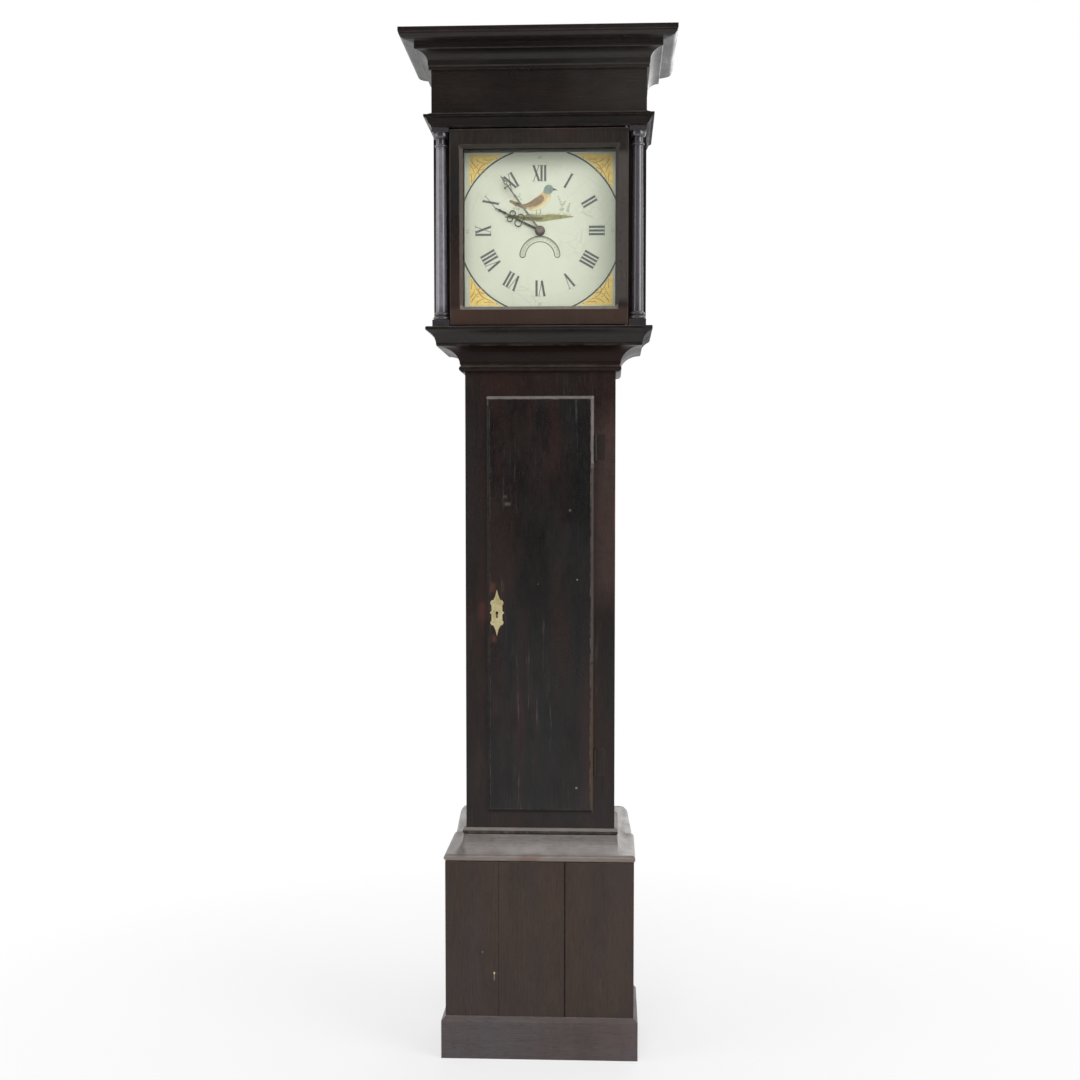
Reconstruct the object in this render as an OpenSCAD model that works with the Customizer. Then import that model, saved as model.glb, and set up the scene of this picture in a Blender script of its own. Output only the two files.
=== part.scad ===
// Thirty-hour longcase clock: ebonised case with a sliding hood, and a two-train
// rope-driven movement with an anchor escapement and a countwheel strike.
// Front is -Y, up is +Z. The origin is the centre of the whole clock on the floor.

/* [Dial and hands] */
// Side of the square painted dial
dial_size = 305; // [300:1:310]
// Thickness of the iron dial sheet
dial_t = 1.5; // [1:0.1:2.5]
// Length of the minute hand from the centre
minute_hand_len = 128; // [100:1:135]
// Length of the hour hand from the centre
hour_hand_len = 98; // [80:1:106]
// Distance of the calendar disc centre below the dial centre
calendar_drop = 48; // [47:0.5:50]
// Radius of the middle of the curved calendar aperture
calendar_r = 33; // [31:0.5:34]
// Width of the calendar aperture
calendar_w = 8; // [6:0.5:9]

/* [Plinth and base] */
// Width of the base box
base_w = 364; // [350:1:390]
// Thickness of the plinth skirting
plinth_t = 8; // [5:0.5:14]
// Height of the plinth skirting, without its bevel
plinth_h = 74; // [50:1:110]
// Height of the bevel on top of the plinth
plinth_bevel = 8; // [4:0.5:12]
// Height of the base box above the floor
base_h = 385; // [340:1:430]
// Thickness of the base boards
base_board_t = 16; // [12:0.5:20]
// Distance of the left joint of the base front from the centre
base_joint_left = 79; // [50:1:110]
// Distance of the right joint of the base front from the centre
base_joint_right = 49; // [20:1:110]
// Height of the moulding between base and trunk
base_mould_h = 59; // [50:1:70]

/* [Trunk] */
// Width of the trunk
trunk_w = 288; // [284:1:300]
// Depth of the trunk from its front face to the back of the backboard
trunk_depth = 172; // [170:1:180]
// Height from the top of the base box to the top of the throat moulding
trunk_h = 987; // [960:1:1040]
// Thickness of the trunk side boards
side_t = 15; // [12:0.5:17]
// Thickness of the trunk front stiles and rails
frame_t = 18; // [16:0.5:19]
// Width of each front stile
stile_w = 49; // [44:0.5:54]
// Height of the lower front rail that shows above the base moulding
low_rail_h = 40; // [30:1:60]
// Height of the upper front rail that shows below the throat moulding
top_rail_h = 53; // [40:1:70]
// Thickness of the backboard
back_t = 12; // [9:0.5:15]
// Height of the throat moulding under the hood
throat_h = 48; // [44:1:56]

/* [Trunk door] */
// How far the moulded lip of the door laps over the frame
door_lip = 8; // [6:0.5:10]
// Thickness of the lip
lip_t = 9; // [7:0.5:12]
// Thickness of the part of the door inside the opening
door_inset_t = 9; // [6:0.5:12]
// Height of the centre of the keyhole above the bottom of the door opening
keyhole_rise = 380; // [250:1:520]
// Distance of the keyhole from the edge of the door opening
keyhole_in = 12; // [11:0.5:16]
// Height of each butt hinge
hinge_h = 50; // [36:1:70]
// Radius of a hinge knuckle
knuckle_r = 3; // [2.5:0.25:3.5]
// Throw of the lock bolt
bolt_throw = 8; // [5:0.5:9]

/* [Hood] */
// Width of the hood over its side boards
hood_w = 400; // [394:1:410]
// Thickness of the hood side boards
hood_side_t = 14; // [10:0.5:16]
// Height of the moulded base frame of the hood
hood_base_h = 33; // [28:1:40]
// Height of the space for the glazed door and columns
hood_bay_h = 367; // [360:1:380]
// Height of the frieze and cornice above the bay
hood_head_h = 168; // [156:1:190]
// Thickness of the frieze board
frieze_t = 16; // [12:0.5:18]
// Width of the cornice projection
cornice_proj = 55; // [50:1:62]
// Height of the cornice
cornice_h = 64; // [58:1:72]
// Width of the architrave projection
architrave_proj = 13.8; // [11:0.2:18]
// Height of the architrave
architrave_h = 27; // [24:1:32]
// Side of the square blocks at the ends of the columns
column_block = 32; // [26:0.5:33]
// Radius of the column shaft
column_r = 11; // [8:0.5:13]
// Thickness of the dial mask
mask_t = 10; // [7:0.5:10]

/* [Hood door] */
// Thickness of the glazed door
hood_door_t = 18; // [15:0.5:19]
// Gap above and below the glazed door
hood_door_gap = 3; // [2.5:0.5:8]
// Width of the opening in the glazed door
sight_w = 285; // [275:1:290]
// Height of the opening in the glazed door
sight_h = 292; // [280:1:296]
// Thickness of the glass
glass_t = 2; // [1.5:0.25:3]

/* [Movement frame] */
// Width of the plates
plate_w = 144; // [142:1:160]
// Thickness of the plates
plate_t = 2.5; // [2:0.25:3.5]
// Distance between the plates
plate_gap = 58; // [57:0.5:60]
// Length of the dial feet
dial_feet_len = 34; // [33:0.5:36]
// Radius of the pillars between the plates
pillar_r = 4; // [3:0.25:4.5]
// Thickness of the seat board
seat_t = 18; // [14:0.5:24]

/* [Wheels] */
// Module of the great wheels
great_m = 0.9; // [0.88:0.01:0.92]
// Module of the second and hoop wheels
second_m = 0.85; // [0.83:0.01:0.86]
// Module of the warning wheel
warning_m = 0.8; // [0.76:0.01:0.84]
// Radius of the escape wheel
escape_r = 19; // [17:0.25:20]
// Thickness of the train wheels
wheel_t = 2; // [1.5:0.1:2.5]
// Running clearance of every pivot in its hole
pivot_fit = 0.08; // [0.05:0.01:0.15]

/* [Pendulum] */
// Length from the suspension to the centre of the bob
pendulum_len = 994; // [950:1:1010]
// Radius of the bob
bob_r = 50; // [40:1:58]
// Thickness of the bob
bob_t = 26; // [20:0.5:30]

/* [Rope and weights] */
// Radius of the rope line round the pulleys
rope_line_r = 20; // [18:0.5:22]
// Radius of the rope
rope_r = 3; // [2:0.25:3.5]
// Radius of the driving weight
weight_r = 30; // [26:0.5:32]
// Height of the driving weight
weight_h = 190; // [150:1:220]
// Height of the weight pulley below the great wheel arbors
weight_hang = 373; // [340:1:420]
// Height of the bottom of the slack loop below the great wheel arbors
loop_hang = 1223; // [1180:1:1260]

/* [Bell] */
// Radius of the bell mouth
bell_r = 44; // [36:1:48]
// Height of the bell
bell_h = 36; // [28:1:42]

/* [Hidden] */
$fn = 48;

// Widths and depths of the case, worked out from the trunk
hood_over = (hood_w - trunk_w) / 2;
base_over = (base_w - trunk_w) / 2;
depth = trunk_depth + hood_over + cornice_proj;
back_y = depth / 2;
trunk_y = back_y - trunk_depth;
hood_y = trunk_y - hood_over;
base_y = trunk_y - base_over;
board_y = back_y - back_t;
frame_back = trunk_y + frame_t;
// Heights of the case
trunk_z = base_h + base_mould_h;
hood_z = base_h + trunk_h;
throat_z = hood_z - throat_h;
bay_z = hood_z + hood_base_h;
head_z = bay_z + hood_bay_h;
top_z = head_z + hood_head_h;
cornice_z = top_z - cornice_h;
dial_z = bay_z + hood_bay_h / 2;
top_board_t = 8;
// Opening of the trunk door
door_half = trunk_w / 2 - stile_w;
door_z0 = trunk_z + low_rail_h;
door_z1 = throat_z - top_rail_h;
door_play = 0.6;
key_x = keyhole_in - door_half;
key_z = door_z0 + keyhole_rise;
// Trunk door hinge line
hinge_x = door_half + door_lip + knuckle_r + 0.3;
hinge_y = trunk_y - knuckle_r;
hinge_in = 90;
hinge_z = [door_z0 + hinge_in, door_z1 - hinge_in];
leaf_w = 18;
leaf_t = 1.5;
hinge_pin_r = 1.2;
knuckle_gap = 0.1;
// Columns, mask and glazed door of the hood
column_x = (hood_w - column_block) / 2;
column_y = hood_y + column_block / 2;
hood_door_half = column_x - column_block / 2 - 1.5;
pivot_x = hood_door_half - 4;
pivot_y = hood_y + 3.5;
mask_y = hood_y + column_block + 2;
dial_y = mask_y + mask_t + 1;
// The plates: move_y is the inner face of the front plate
move_y = dial_y + dial_t + dial_feet_len + plate_t;
plate_top = 88;
plate_low = -95;
seat_z = dial_z + plate_low;
rope_y = plate_gap / 2;
// Teeth of the wheels and leaves of the pinions
great_n = 78;
second_n = 60;
hoop_n = 54;
warning_n = 48;
leaves = 6;
driver_n = 52;
minute_n = 24;
hour_driver_n = 13;
hour_n = 72;
count_n = 48;
count_leaves = 8;
// Arbors, seen from the front, measured from the dial centre
great_at = [36, -21.6];
strike_at = [-great_at[0], great_at[1]];
escape_at = [0, 30.6];
anchor_at = escape_at + [0, escape_r * sqrt(2)];
second_at = meet(great_at, reach(great_n, great_m), escape_at, reach(second_n, second_m));
hoop_at = strike_at + polar(reach(great_n, great_m), 95);
warning_at = hoop_at + polar(reach(hoop_n, second_m), 90);
fly_at = warning_at + polar(reach(warning_n, warning_m), 75);
count_m = 0.9;
count_at = strike_at - [0, (count_n + count_leaves) * count_m / 2];
hammer_at = [-66, 4];
lever_at = [-65, -60];
motion_r = norm(great_at);
minute_m = 2 * motion_r / (driver_n + minute_n);
hour_m = 2 * motion_r / (hour_driver_n + hour_n);
// Planes of the wheels behind the inner face of the front plate
great_y = 4;
hoop_y = 12;
warning_y = 38;
second_y = 44;
strike_y = 50;
escape_y = 53;
count_y = plate_gap + plate_t + 3;
minute_y = -15;
hour_y = -24;
arbor_r = 1.5;
great_arbor_r = 3;
pivot_r = 0.8;
// How far the hands and the end of the centre stud stand before the dial
minute_hand_rise = 7.5;
hour_hand_rise = 3;
stud_rise = 10.5;
// Pipes on the centre stud
stud_r = 2.2;
minute_pipe_r = 3.6;
hour_pipe_r = 5;
// Pendulum and the cock that it hangs from
pendulum_y = plate_gap + plate_t + 26;
cock_y = plate_gap + plate_t + 12;
rod_r = 2.2;
swing_z = dial_z + anchor_at[1];
bob_z = swing_z - pendulum_len;
crutch_len = 110;
// Ropes
sheave_r = great_at[0] - rope_line_r;
arbor_z = dial_z + great_at[1];
sheave_z = arbor_z - weight_hang;
slack_half = 18;
slack_z = arbor_z - loop_hang + slack_half;
eye_wire = 1.5;
eye_r = rope_r + 0.7 + eye_wire;
tension_r = 6.5;
slack_back = weight_r + tension_r + 0.7;
groove = rope_r + 0.35;
bell_at = [-14, 100];
bell_y = 48;

// Distance between the arbors of a wheel and the pinion that it drives
function reach(n, m) = (n + leaves) * m / 2;
function polar(r, a) = [r * cos(a), r * sin(a)];
// Point at the given distances from two others, to the right of the line between them
function meet(a, ra, b, rb) =
    let (d = norm(b - a), u = (b - a) / d, s = (ra * ra - rb * rb + d * d) / (2 * d),
         h = sqrt(ra * ra - s * s))
    a + s * u + h * [u[1], -u[0]];
function bearing(a, b) = atan2(b[1] - a[1], b[0] - a[0]);
function oval(c, rx, ry, a0, a1, n) =
    [for (i = [0:n]) c + [rx * cos(a0 + (a1 - a0) * i / n), ry * sin(a0 + (a1 - a0) * i / n)]];
// Outline of a toothed wheel: straight flanks up to the pitch line, then a pointed arch
function teeth(n, m, fill, add, ded) =
    let (rp = n * m / 2, h = 180 * fill / n)
    [for (k = [0:n - 1], p = [[-ded, -1.06], [0, -1], [0.55 * add, -0.72], [add, -0.2],
                              [add, 0.2], [0.55 * add, 0.72], [0, 1], [-ded, 1.06]])
        polar(rp + p[0], 360 * k / n + h * p[1])];

// Solid whose drawn outline stands upright in x and z, between two depths
module upright(y0, y1) translate([0, y1, 0]) rotate([90, 0, 0]) linear_extrude(y1 - y0) children();
module rod_y(at, y0, y1, r) translate([at[0], y1, at[1]]) rotate([90, 0, 0]) cylinder(r = r, h = y1 - y0);
module turned_y(at, y) translate([at[0], y, at[1]]) rotate([90, 0, 0]) rotate_extrude() children();
module in_movement() translate([0, move_y, dial_z]) children();
module box(a, b) translate(a) cube(b - a);
// A moulding that runs round the front and both sides, with its corners mitred
module moulded(profile, half, front, back) {
    n = len(profile);
    intersection() {
        upright(front - 100, back)
            polygon(concat([for (p = profile) [half + p[0], p[1]]],
                           [for (i = [n - 1:-1:0]) [-half - profile[i][0], profile[i][1]]]));
        translate([-half - 100, 0, 0]) rotate([90, 0, 90]) linear_extrude(2 * half + 200)
            polygon(concat([for (p = profile) [front - p[0], p[1]]],
                           [[back, profile[n - 1][1]], [back, profile[0][1]]]));
    }
}
// An upright panel whose front edges are moulded on all four sides
module raised(profile, half, z0, z1) {
    n = len(profile);
    intersection() {
        translate([0, 0, z0 - 50]) linear_extrude(z1 - z0 + 100)
            polygon(concat([for (p = profile) [half + p[0], p[1]]],
                           [for (i = [n - 1:-1:0]) [-half - profile[i][0], profile[i][1]]]));
        translate([-half - 50, 0, 0]) rotate([90, 0, 90]) linear_extrude(2 * half + 100)
            polygon(concat([for (p = profile) [p[1], z1 + p[0]]],
                           [for (i = [n - 1:-1:0]) [profile[i][1], z0 - profile[i][0]]]));
    }
}
module board(half, y0, y1, z0, z1) box([-half, y0, z0], [half, y1, z1]);
module pair() {
    children();
    mirror([1, 0, 0]) children();
}

// Case: the base
module plinth() color("#4c4442") difference() {
    moulded([[0, 0], [0, plinth_h], [-plinth_t, plinth_h + plinth_bevel]],
            base_w / 2 + plinth_t, base_y - plinth_t, back_y);
    board(base_w / 2, base_y, back_y + 1, -1, plinth_h + plinth_bevel + 1);
}
module base_front() color("#40362f") {
    edges = [-base_w / 2, -base_joint_left, base_joint_right, base_w / 2];
    crack = 0.25;
    for (i = [0:2])
        box([edges[i] + (i > 0 ? crack : 0), base_y, 0],
            [edges[i + 1] - (i < 2 ? crack : 0), base_y + base_board_t, base_h]);
}
module base_sides() color("#40362f") pair()
    box([base_w / 2 - base_board_t, base_y + base_board_t, 0], [base_w / 2, board_y, base_h]);
module base_floor() color("#5a4a3a") {
    floor_z = 40;
    board(base_w / 2 - base_board_t, base_y + base_board_t, board_y, floor_z, floor_z + 12);
}
module base_moulding() color("#57504b") {
    lip = 7;
    profile = concat([[0, 0]], oval([base_over + 2.5 - lip, lip], lip, lip, -90, 90, 8),
                     oval([base_over - 9, base_mould_h - 13], base_over - 14,
                          base_mould_h - 13 - 2 * lip, 270, 180, 8),
                     oval([1, base_mould_h - 6.5], 6, 6.5, -70, 90, 6));
    translate([0, 0, base_h]) difference() {
        moulded(profile, trunk_w / 2, trunk_y, board_y);
        board(trunk_w / 2, trunk_y, back_y + 1, -1, base_mould_h + 1);
    }
}
module backboard() color("#3d322a") {
    wing = 18;
    foot_z = trunk_z - 9;
    upright(board_y, back_y) {
        translate([-base_w / 2, 0]) square([base_w, base_h]);
        translate([-trunk_w / 2, base_h]) square([trunk_w, bay_z - base_h]);
        translate([-hood_w / 2 + hood_side_t + 1, bay_z])
            square([hood_w - 2 * hood_side_t - 2, hood_bay_h - 4]);
        pair() polygon(concat([[trunk_w / 2, base_h], [base_w / 2, base_h]],
                              oval([(trunk_w + base_over - wing) / 2, foot_z], wing, wing, 5, 90, 6),
                              [[trunk_w / 2, foot_z + wing]]));
    }
}

// Case: the trunk
module trunk_sides() color("#2f2624") {
    block = 14;
    pair() box([trunk_w / 2 - side_t, frame_back, base_h], [trunk_w / 2, board_y, seat_z - seat_t]);
    pair() box([trunk_w / 2 - side_t - block, frame_back, trunk_z],
               [trunk_w / 2 - side_t, frame_back + block, throat_z]);
}
module trunk_frame() color("#2f2624") difference() {
    board(trunk_w / 2, trunk_y, frame_back, base_h, hood_z);
    board(door_half, trunk_y - 1, frame_back + 1, door_z0, door_z1);
    for (z = hinge_z)
        box([hinge_x, trunk_y - 1, z - hinge_h / 2], [hinge_x + leaf_w, trunk_y + leaf_t, z + hinge_h / 2]);
    box([-door_half - bolt_throw - 2, bolt_y0 - 0.5, key_z - bolt_half - 2],
        [-door_half + 1, bolt_y1 + 0.5, key_z + bolt_half + 2]);
}
module throat_moulding() color("#2a2321") {
    out = hood_over - 7;
    bead = 10;
    cove_h = throat_h - 16;
    profile = concat([[0, 0], [2, 0]], oval([2, 7], bead - 1, 7, -60, 60, 6), [[bead - 1, 14]],
                     oval([out, 14], out - bead + 1, cove_h, 180, 90, 8), [[out, throat_h]]);
    translate([0, 0, throat_z]) difference() {
        moulded(profile, trunk_w / 2, trunk_y, back_y);
        board(trunk_w / 2, trunk_y, back_y + 1, -1, throat_h + 1);
    }
}
module seat_board() color("#7a5c3c") difference() {
    board(trunk_w / 2 + 6, move_y - plate_t - 8, board_y, seat_z - seat_t, seat_z);
    board(great_at[0] + rope_line_r + 8, move_y + rope_y - 9, move_y + rope_y + 13,
          seat_z - seat_t - 1, seat_z + 1);
    board(24, move_y + pendulum_y - 14, board_y - 18, seat_z - seat_t - 1, seat_z + 1);
    for (x = [-bolt_x, bolt_x])
        translate([x, move_y + seat_bolt_y, seat_z - seat_t - 1]) cylinder(r = 3, h = seat_t + 2);
}
bolt_x = 65;
seat_bolt_y = 46;
pillar_at = [[-58, 78], [58, 78], [-65, -84], [65, -84]];

// A hinge is five knuckles on one pin: the outer and middle ones belong to the case
module knuckles(z, which) {
    step = hinge_h / 5;
    for (i = which)
        translate([hinge_x, hinge_y, z - hinge_h / 2 + i * step + knuckle_gap])
            cylinder(r = knuckle_r, h = step - 2 * knuckle_gap);
}
module trunk_hinge_plates() color("#8d7a45") for (z = hinge_z) {
    difference() {
        union() {
            knuckles(z, [0, 2, 4]);
            step = hinge_h / 5;
            for (i = [0, 2, 4])
                box([hinge_x, hinge_y, z - hinge_h / 2 + i * step + knuckle_gap],
                    [hinge_x + knuckle_r, trunk_y + leaf_t, z - hinge_h / 2 + (i + 1) * step - knuckle_gap]);
            box([hinge_x, trunk_y, z - hinge_h / 2], [hinge_x + leaf_w, trunk_y + leaf_t, z + hinge_h / 2]);
        }
        translate([hinge_x, hinge_y, z - hinge_h / 2 - 1]) cylinder(r = hinge_pin_r, h = hinge_h + 2);
    }
    translate([hinge_x, hinge_y, z - hinge_h / 2]) cylinder(r = hinge_pin_r, h = hinge_h);
}
module trunk_hinge_leaves() color("#8d7a45") {
    leaf_x = door_half + door_lip;
    step = hinge_h / 5;
    for (z = hinge_z) difference() {
        union() {
            knuckles(z, [1, 3]);
            for (i = [1, 3])
                box([leaf_x - leaf_t, hinge_y - leaf_t, z - hinge_h / 2 + i * step + knuckle_gap],
                    [hinge_x, hinge_y + leaf_t, z - hinge_h / 2 + (i + 1) * step - knuckle_gap]);
            box([leaf_x - leaf_t, hinge_y - leaf_t, z - hinge_h / 2], [leaf_x, trunk_y, z + hinge_h / 2]);
        }
        translate([hinge_x, hinge_y, z - hinge_h / 2 - 1])
            cylinder(r = hinge_pin_r + pivot_fit, h = hinge_h + 2);
    }
}
module trunk_door() color("#2f2624") difference() {
    lip_half = door_half + door_lip;
    round_r = lip_t - 3;
    edge = concat([[0, trunk_y], [0, trunk_y - lip_t + round_r + 1]],
                  oval([-round_r, trunk_y - lip_t + round_r + 1], round_r, round_r, 0, -90, 6),
                  [[-round_r, trunk_y - lip_t]]);
    union() {
        raised(edge, lip_half, door_z0 - door_lip, door_z1 + door_lip);
        board(door_half - door_play, trunk_y - 1, trunk_y + door_inset_t,
              door_z0 + door_play, door_z1 - door_play);
    }
    for (z = hinge_z)
        box([lip_half - leaf_t, hinge_y - leaf_t, z - hinge_h / 2], [lip_half + 1, trunk_y, z + hinge_h / 2]);
    upright(trunk_y - lip_t - 1, trunk_y + door_inset_t + 1) keyhole();
}
module keyhole() translate([key_x, key_z]) {
    circle(r = 2.6);
    translate([-1.3, -10]) square([2.6, 10]);
}
module escutcheon() color("#b0a577") upright(trunk_y - lip_t - 1.2, trunk_y - lip_t) difference() {
    translate([key_x, key_z]) {
        for (s = [1, -1]) scale([1, s]) {
            polygon([[-3.6, 30], [0, 45], [3.6, 30]]);
            translate([0, 29]) circle(r = 4.4);
            pair() translate([7, 19]) circle(r = 5.6);
            translate([-6, 8]) square([12, 20]);
        }
        translate([-10.5, -15]) square([21, 30]);
        pair() translate([10.5, 0]) rotate(45) square(5, center = true);
    }
    keyhole();
}
lock_y0 = trunk_y + door_inset_t;
lock_y1 = lock_y0 + 12;
lock_x0 = -door_half + 3.5;
bolt_y0 = trunk_y + 11;
bolt_y1 = trunk_y + 16;
bolt_half = 10;
bolt_play = 0.3;
module lock_case() color("#5f5a55") difference() {
    box([lock_x0, lock_y0, key_z - 34], [lock_x0 + 44, lock_y1, key_z + 34]);
    box([lock_x0 - 1, bolt_y0 - bolt_play, key_z - bolt_half - bolt_play],
        [lock_x0 + 36, bolt_y1 + bolt_play, key_z + bolt_half + bolt_play]);
}
module lock_bolt() color("#9a958c") {
    box([lock_x0, bolt_y0, key_z - bolt_half], [lock_x0 + 26, bolt_y1, key_z + bolt_half]);
}

// The hood
module hood_base() color("#2a2422") {
    out = 12;
    profile = [[-6, 0], [-6, 4], [-4.6, 9], [-3, 14], [0, 18], [4, 21.5], [8, 24], [out - 1, 26],
               [out, 27], [out, hood_base_h - 1.5], [out - 1.5, hood_base_h]];
    difference() {
        translate([0, 0, hood_z]) moulded(profile, hood_w / 2, hood_y, back_y);
        board(trunk_w / 2 + 3, trunk_y + 10, back_y + 1, hood_z - 1, bay_z + 1);
        translate([pivot_x, pivot_y, bay_z - pin_in - 2]) cylinder(r = pin_r + pivot_fit, h = pin_in + 3);
    }
}
// The door pins: how far they stand in the frame and in the door
pin_r = 2;
pin_in = 6;
pin_seat = 9;
module hood_sides() color("#2a2422") pair()
    box([hood_w / 2 - hood_side_t, hood_y + column_block + 1, bay_z], [hood_w / 2, back_y, head_z]);
module hood_frieze() color("#272521") difference() {
    board(hood_w / 2, hood_y, back_y, head_z, top_z - top_board_t);
    board(hood_w / 2 - frieze_t, hood_y + frieze_t, back_y + 1, head_z - 1, top_z);
    translate([pivot_x, pivot_y, head_z - 1]) cylinder(r = pin_r + pivot_fit, h = pin_in + 3);
}
module hood_top() color("#5d4a38") board(hood_w / 2, hood_y, back_y, top_z - top_board_t, top_z);
module cornice() color("#272521") {
    c = cornice_proj;
    h = cornice_h;
    profile = concat([[0, 0], [4.6, 0], [4.6, 0.094 * h], [5.8, 0.125 * h]],
                     oval([c / 2, 0.22 * h], c / 2 - 5.8, 0.277 * h, 180, 90, 8),
                     [[c / 2 + 1, 0.516 * h], [c / 2 + 1, 0.656 * h], [c - 11, 0.695 * h]],
                     oval([c - 11, 0.86 * h], 10, 0.156 * h, -90, 0, 6),
                     [[c, 0.875 * h], [c, h]]);
    difference() {
        translate([0, 0, cornice_z]) moulded(profile, hood_w / 2, hood_y, back_y);
        board(hood_w / 2, hood_y, back_y + 1, cornice_z - 1, top_z + 1);
    }
}
module architrave() color("#272521") {
    shares = [[0, 0], [0.04, 0], [0.07, 0.11], [0.41, 0.3], [0.46, 0.37], [0.65, 0.56], [1, 0.65], [1, 0.8],
              [0.58, 0.85], [0, 1]];
    profile = [for (s = shares) [s[0] * architrave_proj, s[1] * architrave_h]];
    difference() {
        translate([0, 0, head_z]) moulded(profile, hood_w / 2, hood_y, back_y);
        board(hood_w / 2, hood_y, back_y + 1, head_z - 1, head_z + architrave_h + 1);
    }
}
// How far the mask stands up behind the frieze
mask_rise = 30;
module dial_mask() color("#2a2422") difference() {
    union() {
        board(hood_w / 2 - hood_side_t, mask_y, mask_y + mask_t, bay_z, head_z);
        board(hood_w / 2 - frieze_t, mask_y, mask_y + mask_t, head_z - 1, head_z + mask_rise);
    }
    board(sight_w / 2, mask_y - 1, mask_y + mask_t + 1, dial_z - sight_h / 2, dial_z + sight_h / 2);
}
module columns() color("#2c2927") pair() translate([column_x, column_y, bay_z]) {
    r = column_r;
    foot = 13;
    cap = 8;
    h = hood_bay_h;
    profile = concat([[0, foot], [r + 3.5, foot]], oval([r + 1.5, foot + 3.5], 3.5, 3.5, -60, 90, 6),
                     [[r + 1, foot + 8]], oval([r + 1.5, foot + 11], 2, 2.4, -90, 90, 5),
                     [[r, foot + 15], [r - 0.6, h / 2], [r - 1.6, h - cap - 26]],
                     oval([r - 1.4, h - cap - 23.5], 2.4, 2, -90, 90, 5),
                     [[r - 1.8, h - cap - 20], [r - 1.8, h - cap - 13]],
                     oval([r - 1.5, h - cap - 5], 5, 6, -90, 0, 6), [[r + 3.5, h - cap], [0, h - cap]]);
    rotate_extrude() polygon(profile);
    box([-column_block / 2, -column_block / 2, 0], [column_block / 2, column_block / 2, foot]);
    box([-column_block / 2, -column_block / 2, h - cap], [column_block / 2, column_block / 2, h]);
}
hood_door_z0 = bay_z + hood_door_gap;
hood_door_z1 = head_z - hood_door_gap;
glass_seat = 4;
glass_y = hood_y + 10;
module hood_door() color("#272522") difference() {
    edge = [[0, hood_y + hood_door_t], [0, hood_y + 1], [-1, hood_y]];
    raised(edge, hood_door_half, hood_door_z0, hood_door_z1);
    bevel = 6;
    raised([[bevel, hood_y - 0.01], [1, hood_y + 5], [0, hood_y + 5.5], [0, hood_y + hood_door_t + 1]],
           sight_w / 2, dial_z - sight_h / 2, dial_z + sight_h / 2);
    board(sight_w / 2 + glass_seat, glass_y, hood_y + hood_door_t + 1,
          dial_z - sight_h / 2 - glass_seat, dial_z + sight_h / 2 + glass_seat);
    for (z = [hood_door_z0 - 1, hood_door_z1 - pin_seat])
        translate([pivot_x, pivot_y, z]) cylinder(r = pin_r, h = pin_seat + 1);
}
module hood_glass() color("#b9c4c4") board(sight_w / 2 + glass_seat, glass_y, glass_y + glass_t,
          dial_z - sight_h / 2 - glass_seat, dial_z + sight_h / 2 + glass_seat);
module hood_door_pivots() color("#6b6761") {
    for (z = [bay_z - pin_in, hood_door_z1 - pin_seat])
        translate([pivot_x, pivot_y, z]) cylinder(r = pin_r, h = hood_door_gap + pin_in + pin_seat);
}

// The dial, its hands and the wheels behind it
feet_at = [[-60, 70], [60, 70], [-60, -72], [60, -72]];
module dial() color("#d3d9c6") {
    in_movement() {
        y = dial_y - move_y;
        upright(y, y + dial_t) difference() {
            square(dial_size, center = true);
            circle(r = hour_pipe_r + 1.5);
            translate([0, -calendar_drop]) mouth();
        }
        rod_y([0, -calendar_drop], y + dial_t / 2, y + dial_t + 3.2, 1);
        for (at = feet_at) rod_y(at, y + dial_t, -plate_t, 3.5);
    }
}
mouth_angle = 84;
module mouth() {
    w = calendar_w / 2;
    left = 90 + mouth_angle;
    right = 90 - mouth_angle;
    step = 20;
    polygon(concat(oval([0, 0], calendar_r + w, calendar_r + w, right, left, 42),
                   oval(polar(calendar_r, left), w, w, left + step, left + 180 - step, 7),
                   oval([0, 0], calendar_r - w, calendar_r - w, left, right, 42),
                   oval(polar(calendar_r, right), w, w, right + 180 + step, right + 360 - step, 7)));
}
module calendar_disc() color("#e8e4d2") in_movement() {
    y = dial_y - move_y + dial_t + 0.8;
    upright(y, y + 1) translate([0, -calendar_drop]) difference() {
        circle(r = calendar_r + calendar_w / 2 + 1.5);
        circle(r = 1 + pivot_fit);
    }
}
module centre_stud() color("#8f8b84") in_movement() {
    rod_y([0, 0], dial_y - move_y - stud_rise, -plate_t, stud_r);
    rod_y([0, 0], -plate_t - 3, -plate_t, 7);
}
module minute_pipe() color("#b08d45") in_movement() {
    front = dial_y - move_y - minute_hand_rise;
    difference() {
        union() {
            upright(minute_y, minute_y + 2) rotate(bearing([0, 0], great_at))
                teeth_plate(minute_n, minute_m, 0.4, 0.95, 1.15);
            rod_y([0, 0], minute_y - 1.5, -plate_t - 3.5, 6.5);
            rod_y([0, 0], front, -plate_t - 3.5, minute_pipe_r);
        }
        rod_y([0, 0], front - 1, 0, stud_r + pivot_fit);
    }
}
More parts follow.
